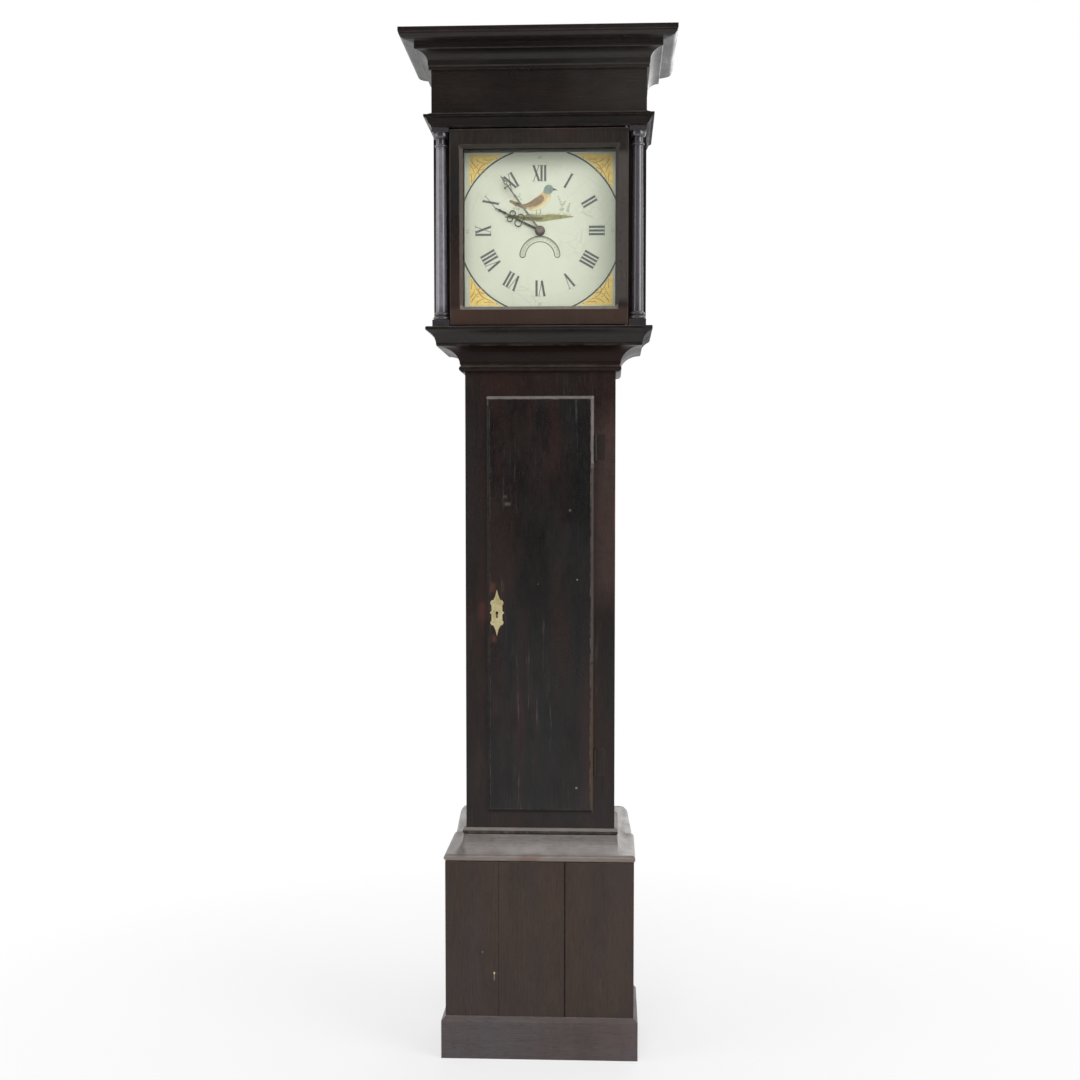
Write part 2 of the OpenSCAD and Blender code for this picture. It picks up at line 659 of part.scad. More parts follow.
// The hands stand at six minutes to ten
minute_turn = -324;
hour_turn = -297;
hand_t = 1;
module minute_hand() color("#2c2a28") in_movement() {
    y = dial_y - move_y - minute_hand_rise;
    r = minute_hand_len;
    upright(y, y + hand_t) rotate(minute_turn) difference() {
        union() {
            circle(r = 8);
            polygon([[-2.2, 6], [-1.3, 0.6 * r], [-1, 0.84 * r], [1, 0.84 * r], [1.3, 0.6 * r], [2.2, 6]]);
            translate([0, 0.62 * r]) circle(r = 2.6);
            translate([0, 0.8 * r]) square([13, 2], center = true);
            for (s = [-1, 1]) translate([6.5 * s, 0.8 * r]) circle(r = 2.2);
            translate([0, 0.86 * r]) circle(r = 3.6);
            polygon([[-3, 0.87 * r], [0, r], [3, 0.87 * r]]);
        }
        circle(r = minute_pipe_r);
        translate([0, 0.86 * r]) circle(r = 1.5);
    }
    difference() {
        rod_y([0, 0], y - 1.3, y, 7);
        rod_y([0, 0], y - 2, y + 1, stud_r + 0.3);
    }
}
module hour_hand() color("#2c2a28") in_movement() {
    y = dial_y - move_y - hour_hand_rise;
    r = hour_hand_len;
    upright(y, y + hand_t) rotate(hour_turn) difference() {
        union() {
            circle(r = 9.5);
            polygon([[-2.6, 7], [-1.8, 0.36 * r], [1.8, 0.36 * r], [2.6, 7]]);
            for (s = [-1, 1]) {
                curl([0.055 * r * s, 0.44 * r], 0.075 * r);
                curl([-0.06 * r * s, 0.62 * r], 0.06 * r);
            }
            translate([0, 0.53 * r]) square([1.8, 0.4 * r], center = true);
            polygon([[-2.4, 0.75 * r], [0, 0.7 * r], [2.4, 0.75 * r], [0, r]]);
            translate([0, 0.87 * r]) circle(r = 2.6);
        }
        circle(r = hour_pipe_r);
    }
}
module curl(at, r) translate(at) difference() {
    circle(r = r);
    circle(r = r - 1.8);
}
module hour_wheel() color("#b08d45") in_movement() {
    front = dial_y - move_y - hour_hand_rise;
    difference() {
        union() {
            upright(hour_y, hour_y + 2)
                crossed(hour_n, hour_m, 0.4, 0.95, 1.15, 4, bearing([0, 0], great_at), 8);
            rod_y([0, 0], hour_y - 3, hour_y + 3, 8);
            rod_y([0, 0], front, hour_y + 3, hour_pipe_r);
        }
        rod_y([0, 0], front - 1, 0, minute_pipe_r + pivot_fit);
    }
}
module teeth_plate(n, m, fill, add, ded) polygon(teeth(n, m, fill, add * m, ded * m));
// A wheel cut away between its rim and its hub, leaving arms
module crossed(n, m, fill, add, ded, arms, turn, hub) {
    rim = n * m / 2 - ded * m - 2.2;
    difference() {
        rotate(turn) teeth_plate(n, m, fill, add, ded);
        difference() {
            circle(r = rim);
            circle(r = hub);
            for (k = [0:arms / 2 - 1])
                rotate(turn + 360 * k / arms) square([2 * rim + 2, 3], center = true);
        }
    }
}
// Leaves of a pinion, turned so that a space faces the wheel that drives it
module leaf_block(n, m, towards, y0, y1) upright(y0, y1)
    rotate(towards + 180 / n) teeth_plate(n, m, leaf_fill, 0.62, 1.12);
wheel_fill = 0.42;
leaf_fill = 0.3;
module arbor(at, y0, y1, r) {
    rod_y(at, y0, y1, r);
    rod_y(at, -plate_t, plate_gap + plate_t, pivot_r);
}
module great_wheel() color("#b3914c") in_movement() {
    turn = bearing(great_at, second_at);
    translate([great_at[0], 0, great_at[1]]) upright(great_y, great_y + wheel_t)
        crossed(great_n, great_m, wheel_fill, 1.1, 1.3, 4, turn, 9);
    rod_y(great_at, great_y + wheel_t, great_y + wheel_t + 4, 7);
    rope_pulley(great_at);
    rod_y(great_at, 1, plate_gap - 1, great_arbor_r);
    rod_y(great_at, plate_gap - 1, plate_gap + plate_t, 1.6);
    rod_y(great_at, hour_y - 3, 1, 1.6);
}
pulley_half = 6;
module rope_pulley(at) turned_y(at, rope_y) difference() {
    translate([0, -pulley_half]) square([rope_line_r + 3, 2 * pulley_half]);
    translate([rope_line_r, 0]) circle(r = groove);
    translate([rope_line_r, -groove]) square([10, 2 * groove]);
}
module motion_driver() color("#b08d45") in_movement() {
    towards = bearing(great_at, [0, 0]);
    translate([great_at[0], 0, great_at[1]]) difference() {
        union() {
            upright(minute_y, minute_y + 2) rotate(towards + 180 / driver_n)
                teeth_plate(driver_n, minute_m, 0.4, 0.95, 1.15);
            upright(hour_y - 1, hour_y + 3) rotate(towards + 180 / hour_driver_n)
                teeth_plate(hour_driver_n, hour_m, 0.34, 0.8, 1.15);
            rod_y([0, 0], hour_y + 3, -plate_t - 2, 5);
        }
        rod_y([0, 0], hour_y - 4, 0, 1.6);
    }
}
module second_wheel() color("#b3914c") in_movement() {
    translate([second_at[0], 0, second_at[1]]) {
        upright(second_y, second_y + wheel_t)
            crossed(second_n, second_m, wheel_fill, 1.1, 1.3, 4, bearing(second_at, escape_at), 5);
        leaf_block(leaves, great_m, bearing(second_at, great_at), great_y - 2, great_y + wheel_t + 2);
    }
    arbor(second_at, 1, plate_gap - 1, arbor_r);
}
module escape_wheel() color("#b3914c") in_movement() {
    n = 30;
    root = escape_r - 4;
    translate([escape_at[0], 0, escape_at[1]]) {
        upright(escape_y - 0.75, escape_y + 0.75) difference() {
            polygon([for (k = [0:n - 1],
                          p = [[root, 0], [root + 0.4, 4.5], [escape_r, 9.6], [escape_r, 10.2], [root, 11.6]])
                polar(p[0], 360 * k / n + p[1])]);
            difference() {
                circle(r = root - 2);
                circle(r = 4);
                for (k = [0, 1]) rotate(90 * k + 45) square([2 * root, 2], center = true);
            }
        }
        leaf_block(leaves, second_m, bearing(escape_at, second_at), second_y - 2, second_y + wheel_t + 2);
    }
    arbor(escape_at, 1, plate_gap - 1, arbor_r);
}
// The pallets hug the escape wheel just clear of its teeth
module anchor() color("#8f8b84") in_movement() {
    drop = anchor_at - escape_at;
    clear = 1.4;
    translate([anchor_at[0], 0, anchor_at[1]]) upright(escape_y - 2, escape_y + 2) {
        difference() {
            intersection() {
                translate(-drop) circle(r = escape_r + clear + 5);
                polygon([[0, 3], [-17, -14.5], [17, -14.5]]);
            }
            translate(-drop) circle(r = escape_r + clear);
        }
        circle(r = 4);
    }
    rod_y(anchor_at, 1, cock_y, arbor_r);
    rod_y(anchor_at, -plate_t, 1, pivot_r);
    rod_y(anchor_at, cock_y, cock_y + 3, pivot_r);
    translate([anchor_at[0], 0, anchor_at[1]]) {
        crutch_y = plate_gap + plate_t + 5;
        rod_y([0, 0], crutch_y, crutch_y + 3, 4);
        box([-1.2, crutch_y, -crutch_len], [1.2, crutch_y + 2.4, 0]);
        difference() {
            box([-rod_r - 2.5, crutch_y, -crutch_len - 5], [rod_r + 2.5, pendulum_y + 6, -crutch_len]);
            box([-rod_r - 0.4, pendulum_y - rod_r - 0.6, -crutch_len - 6],
                [rod_r + 0.4, pendulum_y + rod_r + 0.6, -crutch_len + 1]);
        }
    }
}

// The frame of the movement
module plate_outline() difference() {
    translate([-plate_w / 2, plate_low]) square([plate_w, plate_top - plate_low]);
    for (at = [second_at, escape_at, anchor_at, hoop_at, warning_at, fly_at, hammer_at])
        translate(at) circle(r = pivot_r + pivot_fit);
    for (at = [great_at, strike_at, lever_at]) translate(at) circle(r = 1.6 + pivot_fit);
    translate([0, plate_low]) circle(r = 40);
}
module front_plate() color("#b3914c") in_movement() upright(-plate_t, 0) plate_outline();
module back_plate() color("#b3914c") in_movement() {
    upright(plate_gap, plate_gap + plate_t) difference() {
        plate_outline();
        translate(anchor_at) circle(r = 5);
    }
    rod_y(count_at, plate_gap + plate_t, count_y + 8, 1.5);
    for (at = pillar_at) {
        rod_y(at, 0, plate_gap, pillar_r);
        for (y = [4, plate_gap / 2, plate_gap - 7]) rod_y(at, y, y + 3, pillar_r + 1.5);
    }
}
module seat_bolts() color("#77736c") {
    for (x = [-bolt_x, bolt_x]) translate([x, move_y + seat_bolt_y, 0]) {
        eye_z = dial_z + pillar_at[2][1];
        difference() {
            translate([0, -2.5, eye_z]) rotate([-90, 0, 0]) cylinder(r = pillar_r + 3, h = 5);
            translate([0, -3.5, eye_z]) rotate([-90, 0, 0]) cylinder(r = pillar_r + 0.1, h = 7);
        }
        translate([0, 0, seat_z - seat_t - 14])
            cylinder(r = 2.8, h = eye_z - pillar_r - 1 - seat_z + seat_t + 14);
        translate([0, 0, seat_z - seat_t - 1.5]) cylinder(r = 8, h = 1.5);
        translate([0, 0, seat_z - seat_t - 7]) cylinder(r = 6, h = 5.5, $fn = 6);
    }
}
module back_cock() color("#b3914c") in_movement() {
    y0 = plate_gap + plate_t;
    top = plate_top - 2;
    arm = 26;
    difference() {
        union() {
            box([-arm, y0, anchor_at[1] + 14], [arm, y0 + 2.5, top]);
            pair() box([arm - 6, y0, anchor_at[1] + 14], [arm, cock_y + 3, top]);
            upright(cock_y, cock_y + 3) translate([0, anchor_at[1]]) {
                translate([-arm, 14]) square([2 * arm, top - anchor_at[1] - 14]);
                translate([-6, -6]) square([12, 24]);
            }
            box([-9, cock_y, anchor_at[1] + 14], [9, pendulum_y + 5, anchor_at[1] + 20]);
            box([-5, pendulum_y - 5, anchor_at[1] + 1], [5, pendulum_y + 5, anchor_at[1] + 14]);
        }
        rod_y(anchor_at, cock_y - 1, cock_y + 4, pivot_r + pivot_fit);
        box([-0.8, pendulum_y - 6, anchor_at[1] - 8], [0.8, pendulum_y + 6, anchor_at[1] + 11]);
    }
}

// The pendulum
module suspension_spring() color("#a9a69e") translate([0, move_y + pendulum_y, swing_z]) {
    box([-0.3, -4, -22], [0.3, 4, 8]);
}
module pendulum_rod() color("#8a867e") translate([0, move_y + pendulum_y, swing_z]) {
    difference() {
        box([-3, -5, -30], [3, 5, -16]);
        box([-0.3, -4, -22], [0.3, 4, -15]);
    }
    rod_low = pendulum_len + bob_r + 26;
    translate([0, 0, -rod_low]) cylinder(r = rod_r, h = rod_low - 30);
}
module pendulum_bob() color("#a38a4e") translate([0, move_y + pendulum_y, bob_z]) difference() {
    rise = (bob_t - 3) / 2;
    bulge = (bob_r * bob_r + rise * rise) / (2 * rise);
    rotate([90, 0, 0]) rotate_extrude($fn = 96) intersection() {
        translate([0, bob_t / 2 - bulge]) circle(r = bulge, $fn = 240);
        translate([0, bulge - bob_t / 2]) circle(r = bulge, $fn = 240);
        translate([0, -bob_t]) square([bob_r, 2 * bob_t]);
    }
    translate([0, 0, -bob_r - 1]) cylinder(r = rod_r, h = 2 * bob_r + 2);
}
module rating_nut() color("#a38a4e") translate([0, move_y + pendulum_y, bob_z - bob_r - 9]) difference() {
    union() {
        cylinder(r = 9, h = 5);
        translate([0, 0, 5]) cylinder(r = 5, h = 3.7);
    }
    translate([0, 0, -1]) cylinder(r = rod_r + pivot_fit, h = 12);
}

// The striking train
module strike_great_wheel() color("#b3914c") in_movement() {
    translate([strike_at[0], 0, strike_at[1]]) {
        upright(strike_y, strike_y + wheel_t)
            crossed(great_n, great_m, wheel_fill, 1.1, 1.3, 4, bearing(strike_at, hoop_at), 9);
        for (k = [0:12]) rod_y(polar(pin_ring_r, 360 * k / 13), strike_y - 4, strike_y + 0.5, 1.1);
        leaf_block(count_leaves, count_m, -90, count_y - 1, count_y + 4);
    }
    rod_y(strike_at, 1, plate_gap - 1, great_arbor_r);
    rod_y(strike_at, -plate_t, count_y + 4, 1.6);
    rod_y(strike_at, strike_y - 5, strike_y, 7);
}
pin_ring_r = 31.5;
module winding_pulley() color("#9c7b3e") in_movement() difference() {
    rope_pulley(strike_at);
    rod_y(strike_at, 0, plate_gap, great_arbor_r + pivot_fit);
}
module hoop_wheel() color("#b3914c") in_movement() {
    translate([hoop_at[0], 0, hoop_at[1]]) {
        upright(hoop_y, hoop_y + wheel_t)
            crossed(hoop_n, second_m, wheel_fill, 1.1, 1.3, 4, bearing(hoop_at, warning_at), 5);
        upright(hoop_y - 4, hoop_y + 0.1) difference() {
            circle(r = 18.5);
            circle(r = 17);
            translate([-30, -3]) square([30, 6]);
        }
        leaf_block(leaves, great_m, bearing(hoop_at, strike_at), strike_y - 2, strike_y + wheel_t + 2);
    }
    arbor(hoop_at, 1, plate_gap - 1, arbor_r);
}
module warning_wheel() color("#b3914c") in_movement() {
    translate([warning_at[0], 0, warning_at[1]]) {
        upright(warning_y, warning_y + wheel_t)
            crossed(warning_n, warning_m, wheel_fill, 1.1, 1.3, 4, bearing(warning_at, fly_at), 5);
        leaf_block(leaves, second_m, bearing(warning_at, hoop_at), hoop_y - 2, hoop_y + wheel_t + 2);
        rod_y([17, 0], warning_y - 4, warning_y + 0.1, 0.8);
    }
    arbor(warning_at, 1, plate_gap - 1, arbor_r);
}
module fly() color("#8f8b84") in_movement() {
    translate([fly_at[0], 0, fly_at[1]]) {
        leaf_block(leaves, warning_m, bearing(fly_at, warning_at), warning_y - 2, warning_y + wheel_t + 2);
        box([-12, 5, -0.6], [12, 30, 0.6]);
    }
    arbor(fly_at, 1, plate_gap - 1, arbor_r);
}
// Notches of the count wheel lie farther apart from one hour to the next
module count_wheel() color("#b3914c") in_movement() translate([count_at[0], 0, count_at[1]]) {
    blows = 78;
    hub_y = plate_gap + plate_t;
    difference() {
        union() {
            upright(count_y, count_y + 1.5) rotate(90) teeth_plate(count_n, count_m, 0.4, 1, 1.2);
            upright(count_y + 1.5, count_y + 4.5) difference() {
                circle(r = 17.5);
                for (h = [1:12])
                    rotate(-360 * (h * (h + 1) / 2) / blows) translate([15, -1.4]) square([6, 2.8]);
            }
            rod_y([0, 0], hub_y + 0.6, count_y + 7, 4);
        }
        rod_y([0, 0], hub_y, count_y + 8, 1.5 + pivot_fit);
    }
}
module hammer() color("#8f8b84") in_movement() {
    y0 = strike_y - 3.6;
    strike_z = bell_at[1] + 8;
    translate([hammer_at[0], 0, hammer_at[1]]) {
        box([-1.5, y0, 0], [1.5, y0 + 3, strike_z - hammer_at[1] + 4]);
        upright(y0, y0 + 3) {
            circle(r = 3.5);
            tail = bearing(hammer_at, strike_at);
            rotate(tail) translate([0, -1.3]) square([norm(strike_at - hammer_at) - pin_ring_r - 2.3, 2.6]);
        }
        reach = bell_at[0] - bell_r + 1 - hammer_at[0];
        translate([-5, y0 + 1.5, strike_z - hammer_at[1]]) rotate([0, 90, 0]) cylinder(r = 4, h = reach + 5);
    }
    arbor(hammer_at, 1, plate_gap - 1, arbor_r);
}
arm_out = 6.5;
arm_w = 2.6;
hoop_notch_r = 18;
module strike_levers() color("#8f8b84") in_movement() {
    translate([lever_at[0], 0, lever_at[1]]) {
        to_hoop = hoop_at - lever_at;
        upright(hoop_y - 3.5, hoop_y - 1) {
            circle(r = 4);
            // The arm steps aside to pass the hammer's arbor
            polygon([[2, 0], [-2, -1], [-arm_out, 12], [-arm_out, to_hoop[1] + 4],
                     [arm_w - arm_out, to_hoop[1] + 4], [arm_w - arm_out, 13]]);
            translate([-arm_out, to_hoop[1] + 1]) square([to_hoop[0] - hoop_notch_r - 4.6 + arm_out, 3]);
        }
        upright(-plate_t - 3.6, -plate_t - 1.4) {
            circle(r = 4);
            trip_at = [-14, -10];
            rotate(bearing(lever_at, trip_at)) translate([0, -1.6]) square([norm(trip_at - lever_at), 3.2]);
        }
        back = count_y + 1.8;
        to_count = count_at - lever_at;
        upright(back, back + 2.2) {
            circle(r = 4);
            rotate(bearing([0, 0], to_count)) translate([0, -1.5]) square([norm(to_count) - 18.6, 3]);
        }
    }
    rod_y(lever_at, 1, plate_gap - 1, 2.2);
    rod_y(lever_at, -plate_t - 4, count_y + 4.5, 1.6);
}
module bell() color("#b9b3a2") in_movement() {
    wall = 2.2;
    translate([bell_at[0], bell_y, bell_at[1]]) {
        rotate_extrude() difference() {
            bell_half(bell_r, bell_h);
            bell_half(bell_r - wall, bell_h - wall);
            translate([-1, -1]) square([4.2, bell_h + 2]);
        }
        translate([0, 0, -10]) cylinder(r = 3.2, h = bell_h + 18);
        translate([0, 0, bell_h]) cylinder(r = 7, h = 3, $fn = 6);
    }
    y1 = plate_gap + plate_t;
    box([bell_at[0] - 6, bell_y - 6, bell_at[1] - 10], [bell_at[0] + 6, y1 + 3, bell_at[1] - 7]);
    box([bell_at[0] - 30, y1, bell_at[1] - 10], [bell_at[0] + 6, y1 + 3, bell_at[1] - 7]);
    box([bell_at[0] - 30, y1, plate_top - 20], [bell_at[0] - 18, y1 + 3, bell_at[1] - 7]);
}
module bell_half(r, h) polygon(concat([[0, 0], [r, 0], [r - 1.2, 4]], oval([0, 4], r - 2, h - 4, 0, 90, 12)));

// The rope, its weights and its sheave
module drive_weight() color("#6d6a66") {
    top = sheave_z - 50;
    y = move_y + rope_y;
    translate([0, y, top - weight_h]) cylinder(r = weight_r, h = weight_h - 6);
    translate([0, y, top - 6]) cylinder(r1 = weight_r, r2 = weight_r - 6, h = 6);
    translate([0, y, top]) cylinder(r = 3.5, h = 22);
    // Two cheeks carry the sheave on its pin
    for (s = [-1, 1]) box([-6, y + s * 9.5 - 1.2, top + 20], [6, y + s * 9.5 + 1.2, sheave_z + 6]);
    box([-6, y - 10.7, top + 18], [6, y + 10.7, top + 22]);
    translate([0, 0, sheave_z]) rod_y([0, 0], y - 11.5, y + 11.5, 2.5);
}
module weight_sheave() color("#8a6a45") translate([0, move_y, sheave_z]) difference() {
    turned_y([0, 0], rope_y) difference() {
        translate([0, -6.5]) square([sheave_r + 3, 13]);
        translate([sheave_r, 0]) circle(r = groove);
        translate([sheave_r, -groove]) square([10, 2 * groove]);
    }
    rod_y([0, 0], 0, plate_gap, 2.5 + pivot_fit);
}
// The rope runs over both pulleys, under the sheave and down to the small weight behind the large one
rope_points = let (g = great_at[0], r = rope_line_r, low = slack_z - arbor_z)
    concat([for (a = [180:15:360]) [sheave_r * cos(a), 0, sheave_z - arbor_z + sheave_r * sin(a)]],
           [for (a = [180:-15:0]) [g + r * cos(a), 0, r * sin(a)]],
           [for (i = [1:5]) [g + r + (slack_half - g - r) * i / 6, slack_back * i / 6, low * i / 6]],
           [for (a = [0:-22.5:-180]) [slack_half * cos(a), slack_back, low + slack_half * sin(a)]],
           [for (i = [5:-1:1]) [-g - r - (slack_half - g - r) * i / 6, slack_back * i / 6, low * i / 6]],
           [for (a = [180:-15:0]) [-g + r * cos(a), 0, r * sin(a)]]);
module drive_rope() color("#8c7a5a") translate([0, move_y + rope_y, arbor_z])
    closed_tube(rope_points, rope_r, 8);
function unit(v) = v / norm(v);
module closed_tube(points, r, sides) {
    n = len(points);
    rings = [for (i = [0:n - 1])
        let (t = unit(points[(i + 1) % n] - points[(i + n - 1) % n]), u = unit(cross(t, [0, 1, 0])),
             v = cross(u, t))
        for (k = [0:sides - 1]) points[i] + r * (cos(360 * k / sides) * u + sin(360 * k / sides) * v)];
    faces = [for (i = [0:n - 1], k = [0:sides - 1])
        let (a = i * sides, b = ((i + 1) % n) * sides, j = (k + 1) % sides)
        for (f = [[a + k, a + j, b + k], [a + j, b + j, b + k]]) f];
    polyhedron(points = rings, faces = faces);
}
module tension_weight() color("#7f7a72")
translate([0, move_y + rope_y + slack_back, slack_z - slack_half - 0.4]) {
    rotate([0, 90, 0]) rotate_extrude() translate([eye_r, 0]) circle(r = eye_wire);
    translate([0, 0, -eye_r - eye_wire - 60]) cylinder(r = tension_r, h = 60.5);
}

plinth();
base_front();
base_sides();
base_floor();
base_moulding();
backboard();
trunk_sides();
trunk_frame();
throat_moulding();
seat_board();
trunk_hinge_plates();
trunk_door();
trunk_hinge_leaves();
escutcheon();
lock_case();
lock_bolt();
hood_base();
hood_sides();
hood_frieze();
hood_top();
cornice();
architrave();
dial_mask();
columns();
hood_door();
hood_glass();
hood_door_pivots();
dial();
front_plate();
back_plate();
seat_bolts();
centre_stud();
back_cock();
great_wheel();
second_wheel();
escape_wheel();
anchor();
suspension_spring();
pendulum_rod();
pendulum_bob();
rating_nut();
motion_driver();
minute_pipe();
minute_hand();
hour_wheel();
hour_hand();
calendar_disc();
strike_great_wheel();
winding_pulley();
hoop_wheel();
warning_wheel();
fly();
count_wheel();
hammer();
strike_levers();
bell();
drive_weight();
weight_sheave();
drive_rope();
tension_weight();
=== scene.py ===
import random
from math import acos, asin, atan2, cos, degrees, hypot, pi, radians, sin

import bpy
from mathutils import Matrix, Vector


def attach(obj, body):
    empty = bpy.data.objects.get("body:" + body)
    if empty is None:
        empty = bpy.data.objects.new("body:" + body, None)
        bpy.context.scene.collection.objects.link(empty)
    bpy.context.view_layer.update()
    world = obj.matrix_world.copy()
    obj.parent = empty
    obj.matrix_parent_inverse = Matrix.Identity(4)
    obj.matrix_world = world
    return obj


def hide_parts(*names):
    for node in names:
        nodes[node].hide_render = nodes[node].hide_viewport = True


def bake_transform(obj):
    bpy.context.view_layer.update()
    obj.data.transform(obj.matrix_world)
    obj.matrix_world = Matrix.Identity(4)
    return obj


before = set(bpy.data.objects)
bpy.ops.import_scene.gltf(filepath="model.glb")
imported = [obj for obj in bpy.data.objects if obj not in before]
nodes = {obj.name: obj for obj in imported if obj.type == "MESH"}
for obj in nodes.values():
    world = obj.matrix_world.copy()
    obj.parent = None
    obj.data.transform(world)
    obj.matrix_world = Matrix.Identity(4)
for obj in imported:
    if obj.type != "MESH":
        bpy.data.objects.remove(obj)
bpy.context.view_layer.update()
bpy.ops.object.select_all(action="DESELECT")

# Camera

camera = {"place": (0.135, -2.913, 1.0807), "pitch": 3.586, "turn": 2.69,
          "lens": 50, "sensor": 36, "lift": 0.05}


def addCamera():
    angles = (radians(90 - camera["pitch"]), 0, radians(camera["turn"]))
    bpy.ops.object.camera_add(location=camera["place"], rotation=angles)
    view = bpy.context.object
    view.name = "photoCamera"
    view.data.lens = camera["lens"]
    view.data.sensor_width = camera["sensor"]
    view.data.shift_y = camera["lift"]
    bpy.context.scene.camera = view


def linear(code):
    parts = [int(code[i:i + 2], 16) / 255 for i in (1, 3, 5)]
    return tuple([c / 12.92 if c <= 0.04045 else ((c + 0.055) / 1.055) ** 2.4 for c in parts] + [1])


# Small helpers for node trees: a value is a socket, a number, a vector or a colour's code

def addNode(tree, kind, inputs=None, **settings):
    node = tree.nodes.new(kind)
    for key, value in settings.items():
        setattr(node, key, value)
    for key, value in (inputs or {}).items():
        setInput(tree, node.inputs[key], value)
    return node


def setInput(tree, socket, value):
    if isinstance(value, bpy.types.NodeSocket):
        tree.links.new(value, socket)
    else:
        socket.default_value = linear(value) if isinstance(value, str) else value


def maths(tree, operation, a, b=0.0, clamp=False):
    return addNode(tree, "ShaderNodeMath", {0: a, 1: b}, operation=operation, use_clamp=clamp).outputs[0]


def times(tree, a, b):
    return maths(tree, "MULTIPLY", a, b)


def vectors(tree, operation, a, b=(0, 0, 0), output=0):
    return addNode(tree, "ShaderNodeVectorMath", {0: a, 1: b}, operation=operation).outputs[output]


def partsOf(tree, vector):
    return addNode(tree, "ShaderNodeSeparateXYZ", {0: vector}).outputs


def mixed(tree, factor, a, b):
    return addNode(tree, "ShaderNodeMix", {0: factor, 6: a, 7: b}, data_type="RGBA").outputs[2]


# A colour laid over what is there, where a mask lets it show
def laid(tree, colour, code, mask, share):
    return mixed(tree, times(tree, mask, share), colour, code)


def ranged(tree, value, low, high, toLow=0.0, toHigh=1.0):
    given = {"Value": value, "From Min": low, "From Max": high, "To Min": toLow, "To Max": toHigh}
    return addNode(tree, "ShaderNodeMapRange", given).outputs[0]


def stretched(tree, coordinates, scale):
    return vectors(tree, "MULTIPLY", coordinates, scale)


def noise(tree, coordinates, scale, detail=3.0, roughness=0.5):
    return addNode(tree, "ShaderNodeTexNoise", {"Vector": coordinates, "Scale": scale, "Detail": detail,
                                                "Roughness": roughness}).outputs[0]


# A shared effect: its first input is always the place where it is worked out
def newGroup(name, inputs, outputs):
    tree = bpy.data.node_groups.new(name, "ShaderNodeTree")
    for label, value in {"Coordinates": (0, 0, 0), **inputs}.items():
        kind = "NodeSocketVector" if isinstance(value, tuple) else "NodeSocketFloat"
        socket = tree.interface.new_socket(label, in_out="INPUT", socket_type=kind)
        socket.default_value = value
    for label in outputs:
        tree.interface.new_socket(label, in_out="OUTPUT", socket_type="NodeSocketFloat")
    return tree, tree.nodes.new("NodeGroupInput").outputs


def closed(tree, *values):
    put = tree.nodes.new("NodeGroupOutput")
    for i, value in enumerate(values):
        tree.links.new(value, put.inputs[i])
    return tree


# Directions of the grain: the coordinate that stays short is the one that the fibres follow
upright, across, deep = (1, 1, 0.05), (0.05, 1, 1), (1, 0.05, 1)
grain = {"fibre": 420, "streak": 17, "pore": 1150, "cool": 11, "wander": 3.0, "bend": (0.012, 0.012, 0.0),
         "broaden": (0.12, 0.12, 0.12), "aside": (3.7, 1.3, 8.1)}


# Fine fibres, broad streaks, short open pores and cool patches; on the black-stained woods the cool patches
# are partly a blue-black tone in the stain and partly a painted bluish sheen
def makeGrain():
    look = grain
    tree, given = newGroup("woodGrain", {"Along": upright}, ["Fibre", "Streak", "Pores", "Cool"])
    wander = addNode(tree, "ShaderNodeTexNoise", {"Vector": given[0], "Scale": look["wander"], "Detail": 2.0})
    bent = addNode(tree, "ShaderNodeVectorMath",
                   {0: wander.outputs["Color"], 1: look["bend"], 2: stretched(tree, given[0], given[1])},
                   operation="MULTIPLY_ADD").outputs[0]
    broad = stretched(tree, given[0], vectors(tree, "ADD", given[1], look["broaden"]))
    aside = vectors(tree, "ADD", broad, look["aside"])
    return closed(tree, ranged(tree, noise(tree, bent, look["fibre"], 4, 0.6), 0.3, 0.7),
                  ranged(tree, noise(tree, broad, look["streak"], 3, 0.55), 0.42, 0.7),
                  ranged(tree, noise(tree, bent, look["pore"], 1, 0.5), 0.60, 0.68),
                  ranged(tree, noise(tree, aside, look["cool"], 4, 0.6), 0.4, 0.66))


# Edges that hands and dusters have rubbed
def makeRubbedEdges():
    tree, given = newGroup("rubbedEdges", {"Reach": 0.002}, ["Edge"])
    soft = addNode(tree, "ShaderNodeBevel", {"Radius": given[1]}, samples=4).outputs[0]
    flat = addNode(tree, "ShaderNodeNewGeometry").outputs["Normal"]
    turned = ranged(tree, vectors(tree, "DOT_PRODUCT", soft, flat, "Value"), 0.995, 0.86)
    return closed(tree, times(tree, turned, ranged(tree, noise(tree, given[0], 55, 4, 0.65), 0.38, 0.62)))


# Dust on faces that look up and in corners
def makeSettledDust():
    tree, given = newGroup("settledDust", {"Reach": 0.012}, ["Top", "Corner"])
    up = ranged(tree, partsOf(tree, addNode(tree, "ShaderNodeNewGeometry").outputs["Normal"])[2], 0.25, 0.95)
    cloudy = ranged(tree, noise(tree, given[0], 26, 5, 0.62), 0.33, 0.66, 0.35, 1.0)
    closeness = addNode(tree, "ShaderNodeAmbientOcclusion", {"Distance": given[1]}, samples=4).outputs["AO"]
    return closed(tree, times(tree, up, cloudy), times(tree, ranged(tree, closeness, 0.75, 0.25), cloudy))


# A few small chips and specks, Rarity sets how many cells stay bare
def makeSpecks():
    tree, given = newGroup("paleSpecks", {"Cells": 30.0, "Rarity": 0.8, "Size": 0.05}, ["Speck"])
    cell = addNode(tree, "ShaderNodeTexVoronoi", {"Vector": given[0], "Scale": given[1]}).outputs
    shade = addNode(tree, "ShaderNodeSeparateColor", {0: cell["Color"]}).outputs[0]
    chosen = maths(tree, "GREATER_THAN", shade, given[2])
    return closed(tree, times(tree, chosen, maths(tree, "LESS_THAN", cell["Distance"], given[3])))


